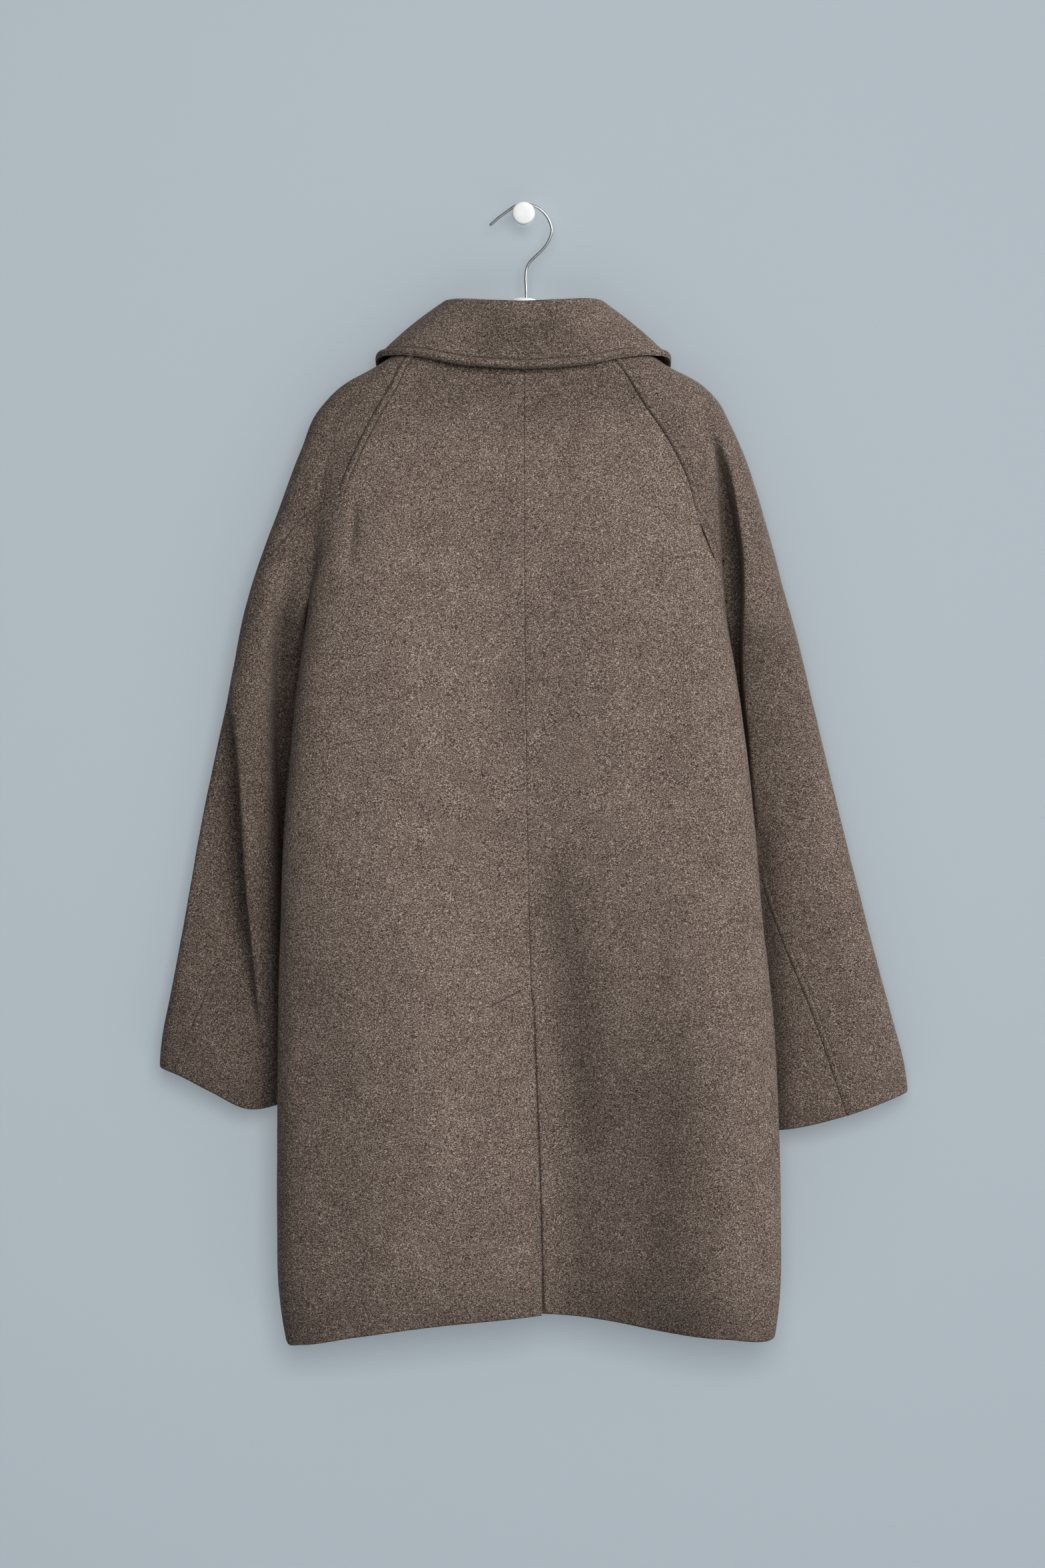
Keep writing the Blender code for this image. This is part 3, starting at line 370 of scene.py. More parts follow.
TRUNK_AT = curves(TRUNK, TRUNK_COLUMNS)
SLEEVE_AT = {side: curves(SLEEVE[side], SLEEVE_COLUMNS) for side in SIDES}
FOLD_AT = {side: curves(FOLD[side], FOLD_COLUMNS) for side in SIDES}
RAGLAN_BACK_AT = {side: smooth_curve(RAGLAN_BACK[side]) for side in SIDES}
RAGLAN_FRONT_AT = {side: smooth_curve(RAGLAN_FRONT[side]) for side in SIDES}
CENTRE_BACK_AT = smooth_curve(CENTRE_BACK)
CUFF_AT = {side: smooth_curve(CUFF[side]) for side in SIDES}
COLLAR_AT = curves(COLLAR, COLLAR_COLUMNS)


# Sections of the trunk and sleeves

def trunk_face(side, face, x, drop):
    """Give the y of the trunk's back or front at x, running off steeply past its side edge."""
    half = TRUNK_AT[side](drop)
    edge = TRUNK_AT["side"](drop)
    middle = TRUNK_AT[face](drop)
    power = BODY_BACK_POWER if face == "back" else BODY_FRONT_POWER
    share = np.clip(np.abs(x) / half, 0.0, 1.0)
    swell = (1 - share ** power) ** (1 / power)
    away = 1.0 if face == "back" else -1.0
    return edge + (middle - edge) * swell + away * EDGE_SLOPE * np.maximum(np.abs(x) - half, 0.0)


def sleeve_face(side, face, x, drop):
    """Give the y of a sleeve's back or front at x, running off steeply past its inner edge."""
    at = SLEEVE_AT[side]
    outer = at["outer"](drop)
    inner = at["inner"](drop)
    across = (outer - x) / (outer - inner)
    t = np.clip(across, 0.0, 1.0)
    line = at["outer_y"](drop) + (at["inner_y"](drop) - at["outer_y"](drop)) * t
    power = SLEEVE_POWER[side]
    swell = (1 - np.abs(2 * t ** SLEEVE_SKEW[side] - 1) ** power) ** (1 / power)
    runoff = EDGE_SLOPE * np.maximum(inner - x, 0.0)
    if face == "front":
        return line + at["front"](drop) * swell - runoff
    fold = FOLD_AT[side]
    beyond = FOLD_OUTER_SIDE[side] * (x - fold["x"](drop))
    floor = FOLD_FLOOR[side] + (1 - FOLD_FLOOR[side]) * np.exp(-np.maximum(beyond, 0.0) / FOLD_FADE)
    lost = fold["share"](drop) * ease(beyond / fold["width"](drop)) * floor
    return line - at["back"](drop) * swell * (1 - lost) + runoff


def blend_width(side, drop):
    """Give how softly the trunk runs into the sleeve, down to a sharp crease at the armpit."""
    return BLEND_MAX * ease((ARMPIT[side] - drop) / BLEND_REACH)


def joined_face(side, face, x, drop):
    """Give the y of the trunk and sleeve run together, above the armpit."""
    trunk = trunk_face(side, face, x, drop)
    sleeve = sleeve_face(side, face, x, drop)
    width = np.maximum(blend_width(side, drop), TINY)
    near = np.maximum(width - np.abs(trunk - sleeve), 0.0) ** 2 / (4 * width)
    if face == "back":
        return np.minimum(trunk, sleeve) - near
    return np.maximum(trunk, sleeve) + near


def crease_x(side, face, drop):
    """Find where the trunk's face meets the sleeve's, by halving."""
    high = TRUNK_AT[side](drop)
    low = np.minimum(SLEEVE_AT[side]["inner"](drop), high)
    away = 1.0 if face == "back" else -1.0
    for _ in range(HALVINGS):
        middle = (low + high) / 2
        apart = trunk_face(side, face, middle, drop) - sleeve_face(side, face, middle, drop)
        trunk_inside = away * apart < 0
        low = np.where(trunk_inside, middle, low)
        high = np.where(trunk_inside, high, middle)
    return (low + high) / 2


def raglan_x(side, face, drop):
    """Give the raglan seam's x, which runs into the crease near the armpit."""
    table = RAGLAN_BACK_AT if face == "back" else RAGLAN_FRONT_AT
    start, full = RAGLAN_RUN_IN
    into = ease((drop - ARMPIT[side] - start) / (full - start))
    return table[side](drop) * (1 - into) + crease_x(side, face, drop) * into


def sleeve_seam(side, face):
    """Give the curve of a sleeve seam's x, which starts on the raglan seam at the branch."""
    rows = SLEEVE_SEAM_BACK if face == "back" else SLEEVE_SEAM_FRONT
    start = float(raglan_x(side, face, np.array([BRANCH[side]]))[0])
    return smooth_curve(((BRANCH[side], start),) + rows[side])


SLEEVE_SEAM_AT = {(side, face): sleeve_seam(side, face) for side in SIDES for face in ("back", "front")}


def vent_rise(rise, drop):
    """Rise from 0 to 1 between two drops that are given from the vent's top."""
    return ease((drop - VENT_DROP - rise[0]) / (rise[1] - rise[0]))


def back_start(side, drop):
    """Give the x, outward, where a back panel begins at the centre back."""
    centre = CENTRE_BACK_AT(drop)
    lap = VENT_LAP * vent_rise(VENT_LAP_RISE, drop)
    return -centre if side == "left" else centre - lap


def vent_sink(side, x, drop):
    """Give how far the right back panel sinks under the left one at the vent."""
    if side == "left":
        return 0.0 * x
    near = 1 - ease((x - CENTRE_BACK_AT(drop)) / VENT_SINK_REACH)
    return VENT_SINK * vent_rise(VENT_SINK_RISE, drop) * near


def front_sink(side, x):
    """Give how far the right front sinks under the left one at the centre front."""
    return FRONT_SINK[side] * (1 - ease((x - FRONT_SINK_FULL) / (FRONT_SINK_FROM - FRONT_SINK_FULL)))


def with_folds(side, face, x, low, high, drop):
    """Add places at the sleeve's fold and at its crease with the trunk to rows of places."""
    fold = FOLD_AT[side]
    step = fold["x"](drop) + FOLD_OUTER_SIDE[side] * fold["width"](drop) * FOLD_PLACES[None, :]
    extra = np.concatenate([step, crease_x(side, face, drop) + CREASE_PLACES[None, :]], axis=1)
    return np.sort(np.concatenate([x, np.clip(extra, low, high)], axis=1), axis=1)


def run_length(x, y):
    """Give the length along each row of points, from its start."""
    steps = np.hypot(np.diff(x, axis=1), np.diff(y, axis=1))
    return np.concatenate([np.zeros((len(x), 1)), np.cumsum(steps, axis=1)], axis=1)


def trunk_section(side, drop):
    """Section of one half of the coat: trunk and sleeve joined above the armpit, trunk alone below."""
    high = drop < ARMPIT[side]
    outer = np.where(high, SLEEVE_AT[side]["outer"](drop), TRUNK_AT[side](drop))
    start = back_start(side, drop)
    end = np.full_like(drop, -FRONT_LAP[side])
    q = np.sin(np.linspace(0, math.pi / 2, SECTION_POINTS))[None, :]
    back_x = with_folds(side, "back", start + (outer - start) * q, start, outer, drop)
    front_x = with_folds(side, "front", end + (outer - end) * q, end, outer, drop)[:, ::-1]
    faces = {}
    for face, x in (("back", back_x), ("front", front_x)):
        faces[face] = np.where(high, joined_face(side, face, x, drop), trunk_face(side, face, x, drop))
    back_y = faces["back"] + vent_sink(side, back_x, drop)
    front_y = faces["front"] - front_sink(side, front_x)
    return np.concatenate([back_x, front_x], axis=1), np.concatenate([back_y, front_y], axis=1)


def sleeve_section(side, drop):
    """Section of a sleeve below the armpit, from its inner edge round the back and home by the front."""
    q = (1 - np.cos(np.linspace(0, math.pi, SECTION_POINTS)))[None, :] / 2
    inner = SLEEVE_AT[side]["inner"](drop)
    outer = SLEEVE_AT[side]["outer"](drop)
    back_x = with_folds(side, "back", inner + (outer - inner) * q, inner, outer, drop)
    front_x = back_x[:, ::-1]
    back_y = sleeve_face(side, "back", back_x, drop)
    front_y = sleeve_face(side, "front", front_x, drop)
    return np.concatenate([back_x, front_x], axis=1), np.concatenate([back_y, front_y], axis=1)


def mark(x, length, face, target):
    """Find the length along each section at which its back or front passes an x."""
    half = x.shape[1] // 2
    found = np.empty(len(x))
    for row in range(len(x)):
        if face == "back":
            found[row] = np.interp(target[row], x[row, :half], length[row, :half])
        else:
            found[row] = np.interp(-target[row], -x[row, half:], length[row, half:])
    return found


def scoop_drop(side, u):
    """Give the drop of the under sleeve's top edge, which dips from the branch to the armpit."""
    rise = np.abs(1 - 2 * u) ** SCOOP_POWER
    return ARMPIT[side] - (ARMPIT[side] - BRANCH[side]) * rise


def panel_span(side, panel, u, drop, x, length, high):
    """Give the length along each section for a place u across a panel."""
    half = x.shape[1] // 2
    below = np.maximum(drop, BRANCH[side])
    if panel == "back":
        end = mark(x, length, "back", raglan_x(side, "back", drop)) if high else length[:, half - 1]
        return u * end
    if panel == "front":
        start = mark(x, length, "front", raglan_x(side, "front", drop)) if high else length[:, half]
        return start + u * (length[:, -1] - start)
    seam_back = mark(x, length, "back", SLEEVE_SEAM_AT[side, "back"](below))
    seam_front = mark(x, length, "front", SLEEVE_SEAM_AT[side, "front"](below))
    raglan_back = mark(x, length, "back", raglan_x(side, "back", drop)) if high else np.zeros(len(x))
    raglan_front = mark(x, length, "front", raglan_x(side, "front", drop)) if high else length[:, -1]
    if panel == "top":
        start = np.where(drop < BRANCH[side], raglan_back, seam_back)
        end = np.where(drop < BRANCH[side], raglan_front, seam_front)
        inside = np.clip(u, 0, 1)
        return start + WELT_WIDTH + inside * (end - start - 2 * WELT_WIDTH) + (u - inside) * WELT_WIDTH
    rise = np.clip((ARMPIT[side] - drop) / (ARMPIT[side] - BRANCH[side]), 0, 1)
    reach = np.maximum(0.5 * (1 - rise ** (1 / SCOOP_POWER)), TINY)
    back_part = seam_back + (raglan_back - seam_back) * np.clip(u / reach, 0, 1)
    front_part = seam_front + (raglan_front - seam_front) * np.clip((1 - u) / reach, 0, 1)
    return np.where(u <= 0.5, back_part, front_part)


def panel_points(side, panel, u, drop):
    """Give the outer points of a panel, for arrays of places across it and drops."""
    shape = u.shape
    u = u.ravel()
    drop = drop.ravel()
    points = np.empty((len(u), 3))
    for high in (True, False):
        wanted = np.nonzero((drop < ARMPIT[side] - TINY) == high)[0]
        for first in range(0, len(wanted), CHUNK):
            chosen = wanted[first:first + CHUNK]
            at = drop[chosen][:, None]
            on_sleeve = panel in ("top", "under") and not high
            x, y = sleeve_section(side, at) if on_sleeve else trunk_section(side, at)
            length = run_length(x, y)
            place = panel_span(side, panel, u[chosen], drop[chosen], x, length, high)
            for row, point in enumerate(chosen):
                points[point, 0] = SIGN[side] * np.interp(place[row], length[row], x[row])
                points[point, 1] = np.interp(place[row], length[row], y[row])
    points[:, 2] = -drop
    return points.reshape(shape + (3,))


# Grids of places across each panel and drops down it

def places(size, step, edge_steps=EDGE_STEPS):
    """Places from 0 to 1 across a size in millimetres, crowded towards both edges."""
    margin = edge_steps[-1]
    inner = np.linspace(margin, size - margin, max(round((size - 2 * margin) / step), 2) + 1)
    outer = np.array(edge_steps[:-1])
    return np.concatenate([outer, inner, size - outer[::-1]]) / size


def trunk_drops(side, top, hem):
    """Give the drops down a trunk panel's columns: above the branch, along the armhole and below."""
    yoke = np.linspace(0, 1, round((BRANCH[side] - top.min()) / ROW_STEP) + 1)[:-1, None]
    upper = top + (BRANCH[side] - top) * yoke
    armhole = np.linspace(BRANCH[side], ARMPIT[side], round((ARMPIT[side] - BRANCH[side]) / ROW_STEP) + 1)
    skirt_size = hem.mean() - ARMPIT[side]
    skirt = places(skirt_size, ROW_STEP)[1:, None]
    lower = ARMPIT[side] + (hem - ARMPIT[side]) * skirt
    return np.concatenate([upper, armhole[:, None] + 0 * top, lower], axis=0)


TRUNK_EDGES = {"back": (NECK_BACK, HEM_BACK, BACK_EDGE_STEPS), "front": (NECK_FRONT, HEM_FRONT, EDGE_STEPS)}


def trunk_grid(side, panel):
    """Back panel from the centre back to the raglan and side seams, or front panel from those inward."""
    neck, hem, edge_steps = TRUNK_EDGES[panel]
    u = places(PANEL_WIDTH[panel], PANEL_STEP[panel], edge_steps)
    drop = trunk_drops(side, smooth_curve(neck)(u)[None, :], smooth_curve(hem[side])(u)[None, :])
    return panel_points(side, panel, np.broadcast_to(u, drop.shape), drop)


def cuff_drops(side, panel, u):
    """Find the drop at which each column of a sleeve panel meets the cuff's slanting line."""
    drop = np.full(u.shape, CUFF_FIRST_DROP)
    for _ in range(CUFF_STEPS):
        x = SIGN[side] * panel_points(side, panel, u, drop)[:, 0]
        drop = CUFF_AT[side](x)
    return drop


def top_columns():
    """Places across the top sleeve; those under 0 and over 1 lie on the seam welts."""
    welt = np.array(WELT_STEPS[:-1]) / WELT_WIDTH
    inner = np.linspace(0, 1, round(PANEL_WIDTH["top"] / PANEL_STEP["top"]) + 1)
    return np.concatenate([welt - 1, inner, 2 - welt[::-1]])


def top_grid(side, panel):
    """Top sleeve: over the shoulder from raglan to raglan, then between the sleeve seams to the cuff."""
    u = top_columns()
    share = np.clip((u + 1) / 3, 0, 1)
    neck = smooth_curve(NECK_SLEEVE)(share)[None, :]
    yoke = np.linspace(0, 1, round((BRANCH[side] - neck.min()) / ROW_STEP) + 1)[:-1, None]
    cuff = cuff_drops(side, panel, u)[None, :]
    arm = places(cuff.mean() - BRANCH[side], ROW_STEP)[:, None]
    drop = np.concatenate([neck + (BRANCH[side] - neck) * yoke, BRANCH[side] + (cuff - BRANCH[side]) * arm])
    return panel_points(side, panel, np.broadcast_to(u, drop.shape), drop)


def under_grid(side, panel):
    """Under sleeve: from one sleeve seam round the inner edge to the other, scooped at the armpit."""
    u = places(PANEL_WIDTH[panel], PANEL_STEP[panel])
    top = scoop_drop(side, u)[None, :]
    cuff = cuff_drops(side, panel, u)[None, :]
    arm = places(cuff.mean() - top.mean(), ROW_STEP)[:, None]
    drop = top + (cuff - top) * arm
    return panel_points(side, panel, np.broadcast_to(u, drop.shape), drop)


# Relief on the panels

def grid_normals(grid, facing):
    """Give unit normals of a grid of points, on the side that facing names."""
    down = np.gradient(grid, axis=0)
    across = np.gradient(grid, axis=1)
    normal = np.cross(down, across) * facing
    return normal / np.maximum(np.linalg.norm(normal, axis=2, keepdims=True), TINY)


def edge_distance(grid, edge):
    """Give each point's distance from one edge of its grid, along the cloth."""
    axis = 0 if edge in ("top", "bottom") else 1
    steps = np.linalg.norm(np.diff(grid, axis=axis), axis=2)
    start = np.zeros_like(np.take(steps, [0], axis=axis))
    length = np.concatenate([start, np.cumsum(steps, axis=axis)], axis=axis)
    if edge in ("top", "left"):
        return length
    return np.take(length, [-1], axis=axis) - length


def rounded(distance, shape):
    """Give how far a face falls near an edge, as a quarter round."""
    reach, depth = shape
    t = np.clip(1 - distance / reach, 0.0, 1.0)
    return depth * (1 - np.sqrt(1 - t * t))


def path_length(points):
    """Give the length along a list of points, from its start."""
    steps = np.linalg.norm(np.diff(points, axis=0), axis=1)
    return np.concatenate([[0.0], np.cumsum(steps)])


def along_path(points, length, spots):
    """Give the points that lie at some lengths along a path."""
    return np.stack([np.interp(spots, length, column) for column in points.T], axis=-1)


def line_relief(points, line, half_width):
    """Give the soft profile, from 0 to 1, of a crease along a line of x and drop, faded at its ends."""
    flat = points[:, [0, 2]] * np.array([1.0, -1.0])
    knots = np.array(line, dtype=float)
    steps = np.diff(knots, axis=0)
    lengths = np.linalg.norm(steps, axis=1)
    starts = path_length(knots)
    nearest = np.full(len(flat), np.inf)
    along = np.zeros(len(flat))
    for start, step, length, before in zip(knots, steps, lengths, starts):
        t = np.clip((flat - start) @ step / length ** 2, 0.0, 1.0)
        distance = np.linalg.norm(flat - start - t[:, None] * step, axis=1)
        closer = distance < nearest
        nearest[closer] = distance[closer]
        along[closer] = before + t[closer] * length
    share = along / starts[-1]
    fade = ease(share / CREASE_END_SHARE) * ease((1 - share) / CREASE_END_SHARE)
    return fade * np.exp(-(nearest / half_width) ** 2)


def crease_relief(owner, grid, normals):
    """Give the depth of the listed creases over one panel."""
    points = grid.reshape(-1, 3)
    facing = normals.reshape(-1, 3)[:, 1]
    depth = np.zeros(len(points))
    for on, face, half_width, amount, line in CREASES:
        if on != owner:
            continue
        turned = ease((-facing if face == "back" else facing) / CREASE_TURN)
        depth += amount * turned * line_relief(points, line, half_width)
    return depth.reshape(grid.shape[:2])


def painted_shade(owner, grid):
    """Give the painted shade and painted light over one panel, as a factor on its colour."""
    points = grid.reshape(-1, 3)
    shade = np.ones(len(points))
    for on, half_width, share, line in PAINTED_SHADES:
        if on == owner:
            shade -= share * line_relief(points, line, half_width)
    return shade


def lumps(grid):
    """Give the slight unevenness of thick cloth."""
    height = np.zeros(len(grid.reshape(-1, 3)))
    for size, amount in LUMP_SIZES:
        height += [amount * noise.noise(Vector(point) / size) for point in grid.reshape(-1, 3)]
    return height.reshape(grid.shape[:2])


def welt_relief(distance, stitch_line, height, groove_shape):
    """Give the plump ridge between an edge and its topstitching, and the groove that the stitches pull in."""
    across = np.clip(distance / stitch_line, 0.0, 1.0)
    reach, depth = groove_shape
    groove = depth * np.exp(-((distance - stitch_line) / reach) ** 2)
    return height * np.sin(math.pi * across) ** RIDGE_POWER - groove


# Meshes

# Name of the point attribute that holds the painted shade and painted light
PAINTED_SHADE_ATTRIBUTE = "painted_shade"


def mesh_piece(name, points, faces, material, slot):
    """Make a smooth piece from points in millimetres, riding on the root body."""
    mesh = bpy.data.meshes.new(name)
    mesh.from_pydata([tuple(point) for point in np.asarray(points) * MM], [], faces)
    mesh.shade_smooth()
    mesh.materials.append(material)
    item = bpy.data.objects.new(name, mesh)
    bpy.context.scene.collection.objects.link(item)
    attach(item, "root")
    return item


def shell_piece(name, outer, inner, facing, material, owner):
    """Make a closed cloth shell from its outer and inner grids, carrying its owner's painted shade and
    painted light on its points.
    """
    rows, columns = outer.shape[:2]
    inside = rows * columns
    index = np.arange(inside).reshape(rows, columns)
    corner = index[:-1, :-1].ravel()
    quads = np.stack([corner, corner + columns, corner + columns + 1, corner + 1], axis=1)
    faces = np.concatenate([quads, inside + quads[:, ::-1]]).tolist()
    border = np.concatenate([index[0], index[1:, -1], index[-1, -2::-1], index[-2:0:-1, 0]]).tolist()
    for first, second in zip(border, border[1:] + border[:1]):
        faces.append([first, second, inside + second, inside + first])
    if facing < 0:
        faces = [face[::-1] for face in faces]
    points = np.concatenate([outer.reshape(-1, 3), inner.reshape(-1, 3)])
    piece = mesh_piece(name, points, faces, material, "wool")
    # Painted shade and painted light, stored on the points for the wool's colour
    shade = piece.data.attributes.new(PAINTED_SHADE_ATTRIBUTE, "FLOAT", "POINT")
    shade.data.foreach_set("value", np.tile(painted_shade(owner, outer), 2))
    return piece


# Materials

def new_material(name):
    """Start a material and return it with its node tree and shader."""
    material = bpy.data.materials.new(name)
    material.use_nodes = True
    return material, material.node_tree, material.node_tree.nodes["Principled BSDF"]


def add_node(tree, kind, links=(), **values):
    """Add a node, link the sockets named in links, and set the others' values."""
    node = tree.nodes.new(kind)
    for socket, source in links:
        tree.links.new(source, node.inputs[socket])
    for key, value in values.items():
        if hasattr(node, key):
            setattr(node, key, value)
        else:
            node.inputs[key.replace("_", " ").title()].default_value = value
    return node


def ramp(tree, source, stops):
    """Add a colour ramp with stops of place and colour."""
    node = add_node(tree, "ShaderNodeValToRGB", [("Fac", source)])
    elements = node.color_ramp.elements
    while len(elements) < len(stops):
        elements.new(0.5)
    for element, (place, colour) in zip(elements, stops):
        element.position = place
        element.color = (*colour, 1.0)
    return node.outputs["Color"]


def mixed_values(tree, sources):
    """Add up values, each by its own weight."""
    total = None
    for source, weight in sources:
        scaled = add_node(tree, "ShaderNodeMath", [(0, source)], operation="MULTIPLY")
        scaled.inputs[1].default_value = weight
        total = scaled.outputs[0] if total is None else add_node(
            tree, "ShaderNodeMath", [(0, total), (1, scaled.outputs[0])], operation="ADD").outputs[0]
    return total


# Noise that mixes the fibres: scale, detail, roughness and weight of the grain, the flecks and the mottle
FIBRE_NOISES = ((1080.0, 1.0, 0.5, 0.70), (430.0, 2.0, 0.6, 0.24), (34.0, 2.0, 0.5, 0.06))
# Colours of the melange from its darkest to its palest fibres
FIBRE_STOPS = ((0.34, (0.021, 0.014, 0.011)), (0.46, (0.099, 0.070, 0.055)), (0.54, (0.196, 0.145, 0.117)),
               (0.68, (0.515, 0.425, 0.366)))
FIBRE_BUMP = 0.6
FIBRE_HEIGHT = 0.0008
WOOL_FINISH = {"Roughness": 0.95, "Specular IOR Level": 0.12, "Sheen Weight": 0.06, "Sheen Roughness": 0.5,
               "Sheen Tint": (0.85, 0.78, 0.72, 1.0)}
# Plain materials: detail of the unevenness, the part of its range that is used, and its bump
SPECKLE_DETAIL = 4.0
SPECKLE_RANGE = (0.35, 0.65)
SPECKLE_BUMP = 0.3


def set_inputs(node, values):
    """Set plain values on a node, by the names of its sockets."""
    for socket, value in values.items():
        node.inputs[socket].default_value = value


def noise_value(tree, place, **values):
    """Add a noise and return its value."""
    return add_node(tree, "ShaderNodeTexNoise", [("Vector", place)], **values).outputs[0]


def add_bump(tree, shader, height, strength, distance):
    """Raise a shader's surface by a height."""
    bump = add_node(tree, "ShaderNodeBump", [("Height", height)], strength=strength, distance=distance)
    tree.links.new(bump.outputs[0], shader.inputs["Normal"])


def wool_material(name, painted_dim):
    """Felted melange wool: a fine grain of light and dark fibres, dimmed as a whole for painted shade on some
    pieces and multiplied by the painted shade on its points.
    """
    material, tree, shader = new_material(name)
    place = add_node(tree, "ShaderNodeTexCoord").outputs["Object"]
    parts = []
    for scale, detail, roughness, weight in FIBRE_NOISES:
        value = noise_value(tree, place, scale=scale, detail=detail, roughness=roughness)
        parts.append((value, weight))
    mix = mixed_values(tree, parts)
    # Painted shade: the fibre colours are dimmed for this piece as a whole
    stops = [(at, tuple(painted_dim * channel for channel in colour)) for at, colour in FIBRE_STOPS]
    # Painted shade: the fibre colour is multiplied by the painted shade stored on the points
    shade = add_node(tree, "ShaderNodeAttribute", attribute_name=PAINTED_SHADE_ATTRIBUTE).outputs["Fac"]
    painted_colour = add_node(tree, "ShaderNodeVectorMath", [(0, ramp(tree, mix, stops)), (1, shade)],
                       operation="MULTIPLY")
    tree.links.new(painted_colour.outputs[0], shader.inputs["Base Color"])
    add_bump(tree, shader, mix, FIBRE_BUMP, FIBRE_HEIGHT)
    set_inputs(shader, WOOL_FINISH)
    return material


def speckled_material(name, dark, light, scale, roughness, metallic=0.0, bump_distance=0.0):
    """A plain material with slight unevenness in colour and surface."""
    material, tree, shader = new_material(name)
    place = add_node(tree, "ShaderNodeTexCoord").outputs["Object"]
    grain = noise_value(tree, place, scale=scale, detail=SPECKLE_DETAIL)
    colour = ramp(tree, grain, tuple(zip(SPECKLE_RANGE, (dark, light))))
    tree.links.new(colour, shader.inputs["Base Color"])
    if bump_distance:
        add_bump(tree, shader, grain, SPECKLE_BUMP, bump_distance)
    set_inputs(shader, {"Roughness": roughness, "Metallic": metallic})
    return material


# Coat

PANEL_GRIDS = {"back": trunk_grid, "front": trunk_grid, "top": top_grid, "under": under_grid}
PANEL_NAMES = {"back": "back_{}", "front": "front_{}", "top": "sleeve_{}_top", "under": "sleeve_{}_under"}
PANEL_FACING = {"back": 1.0, "front": 1.0, "top": 1.0, "under": -1.0}
# Which shape each side edge of a panel takes, in order from u = 0
PANEL_EDGES = {
    "back": (CENTRE_ROUND, SEAM_ROUND),
    "front": (SEAM_ROUND, FREE_ROUND),
    "top": (SEAM_ROUND, SEAM_ROUND),
    "under": (SEAM_ROUND, SEAM_ROUND),
}


def vent_groove(distance, drop):
    """Give the depth of the gap along the lapped edge of the vent."""
    reach, depth = VENT_GROOVE
    lapped_edge = VENT_LAP * vent_rise(VENT_LAP_RISE, drop) + VENT_GROOVE_PLACE
    return depth * vent_rise(VENT_GROOVE_RISE, drop) * np.exp(-((distance - lapped_edge) / reach) ** 2)


def armpit_hold(side, grid, seam):
    """Give how far a panel is free of its seam at the armpit: 0 on the seam there, 1 well away from it."""
    near_seam = 1 - ease(seam / ARMPIT_HOLD)
    near_armpit = 1 - ease(np.abs(-grid[..., 2] - ARMPIT[side]) / ARMPIT_REACH)
    return 1 - near_seam * near_armpit


def softened(normals, share):
    """Average normals along each row, and keep the given share of the average at each point."""
    padded = np.pad(normals, ((0, 0), (NORMAL_SPREAD, NORMAL_SPREAD), (0, 0)), mode="edge")
    count = normals.shape[1]
    mean = sum(padded[:, k:k + count] for k in range(2 * NORMAL_SPREAD + 1)) / (2 * NORMAL_SPREAD + 1)
    mixed = normals + share[..., None] * (mean - normals)
    return mixed / np.maximum(np.linalg.norm(mixed, axis=2, keepdims=True), TINY)


def hem_tuck(panel, foot):
    """Give how far a panel turns inward, at distances up from its hem."""
    reach, depth = HEM_TUCK[panel]
    return depth * np.clip(1 - foot / reach, 0.0, 1.0) ** 2


def panel_shell(side, panel, wool):
    """Build one panel with its seams, welts and creases; return it, its outer grid, normals and grid."""
    name = PANEL_NAMES[panel].format(side)
    facing = PANEL_FACING[panel] * SIGN[side]
    grid = PANEL_GRIDS[panel](side, panel)
    normals = grid_normals(grid, facing)
    owner = side if panel in ("top", "under") else "body"
    first = edge_distance(grid, "left")
    last = edge_distance(grid, "right")
    foot = edge_distance(grid, "bottom")
    head = edge_distance(grid, "top")
    body_seam = {"back": last, "front": first, "top": None, "under": head}[panel]
    if panel == "under":
        normals = softened(normals, 1 - armpit_hold(side, grid, body_seam))
    crease = crease_relief(owner, grid, normals)
    if panel == "under":
        crease *= ease(head / CREASE_FADE)
    soft = lumps(grid) - crease - hem_tuck(panel, foot)
    hem = rounded(foot, FREE_ROUND)
    shows = smooth_curve(SEAM_SHOWS[side])(-grid[..., 2])
    raglan_shows = np.where(-grid[..., 2] < ARMPIT[side], shows, 1.0)
    first_share, last_share = {"back": (1.0, raglan_shows), "top": (shows, 1.0), "under": (shows, 1.0),
                               "front": (1.0, 1.0)}[panel]
    first_round, last_round = PANEL_EDGES[panel]
    relief = soft - hem - first_share * rounded(first, first_round) - last_share * rounded(last, last_round)
    if panel == "top":
        relief += shows * welt_relief(first, STITCH_LINE, WELT_HEIGHT, SEAM_GROOVE)
        relief += welt_relief(last, STITCH_LINE, WELT_HEIGHT, SEAM_GROOVE)
    if panel == "under":
        relief -= shows * rounded(head, SEAM_ROUND)
    if name == "back_right":
        relief -= vent_groove(first, -grid[..., 2])
    if body_seam is not None:
        relief *= armpit_hold(side, grid, body_seam)
    wall = CLOTH_WALL + (HEM_WALL - CLOTH_WALL) * (1 - ease((foot - HEM_REACH) / HEM_FADE))
    outer = grid + normals * relief[..., None]
    inner = grid + normals * (soft - wall + hem)[..., None]
    piece = shell_piece(f"cloth_{name}", outer, inner, facing, wool, panel if owner == "body" else owner)
    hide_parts(name)
    return piece, outer, normals, grid


def neck_ring(grids, side):
    """Join the top edges of one side's panels, from the centre back to the collar's front end."""
    edges = [grids[PANEL_NAMES[panel].format(side)][0] for panel in ("back", "top", "front")]
    inward = -SIGN[side] * edges[2][:, 0]
    end = along_path(edges[2], inward, -COLLAR[-1][1])
    front = edges[2][1:][inward[1:] < -COLLAR[-1][1]]
    return np.concatenate([edges[0], edges[1][1:], front, [end]])


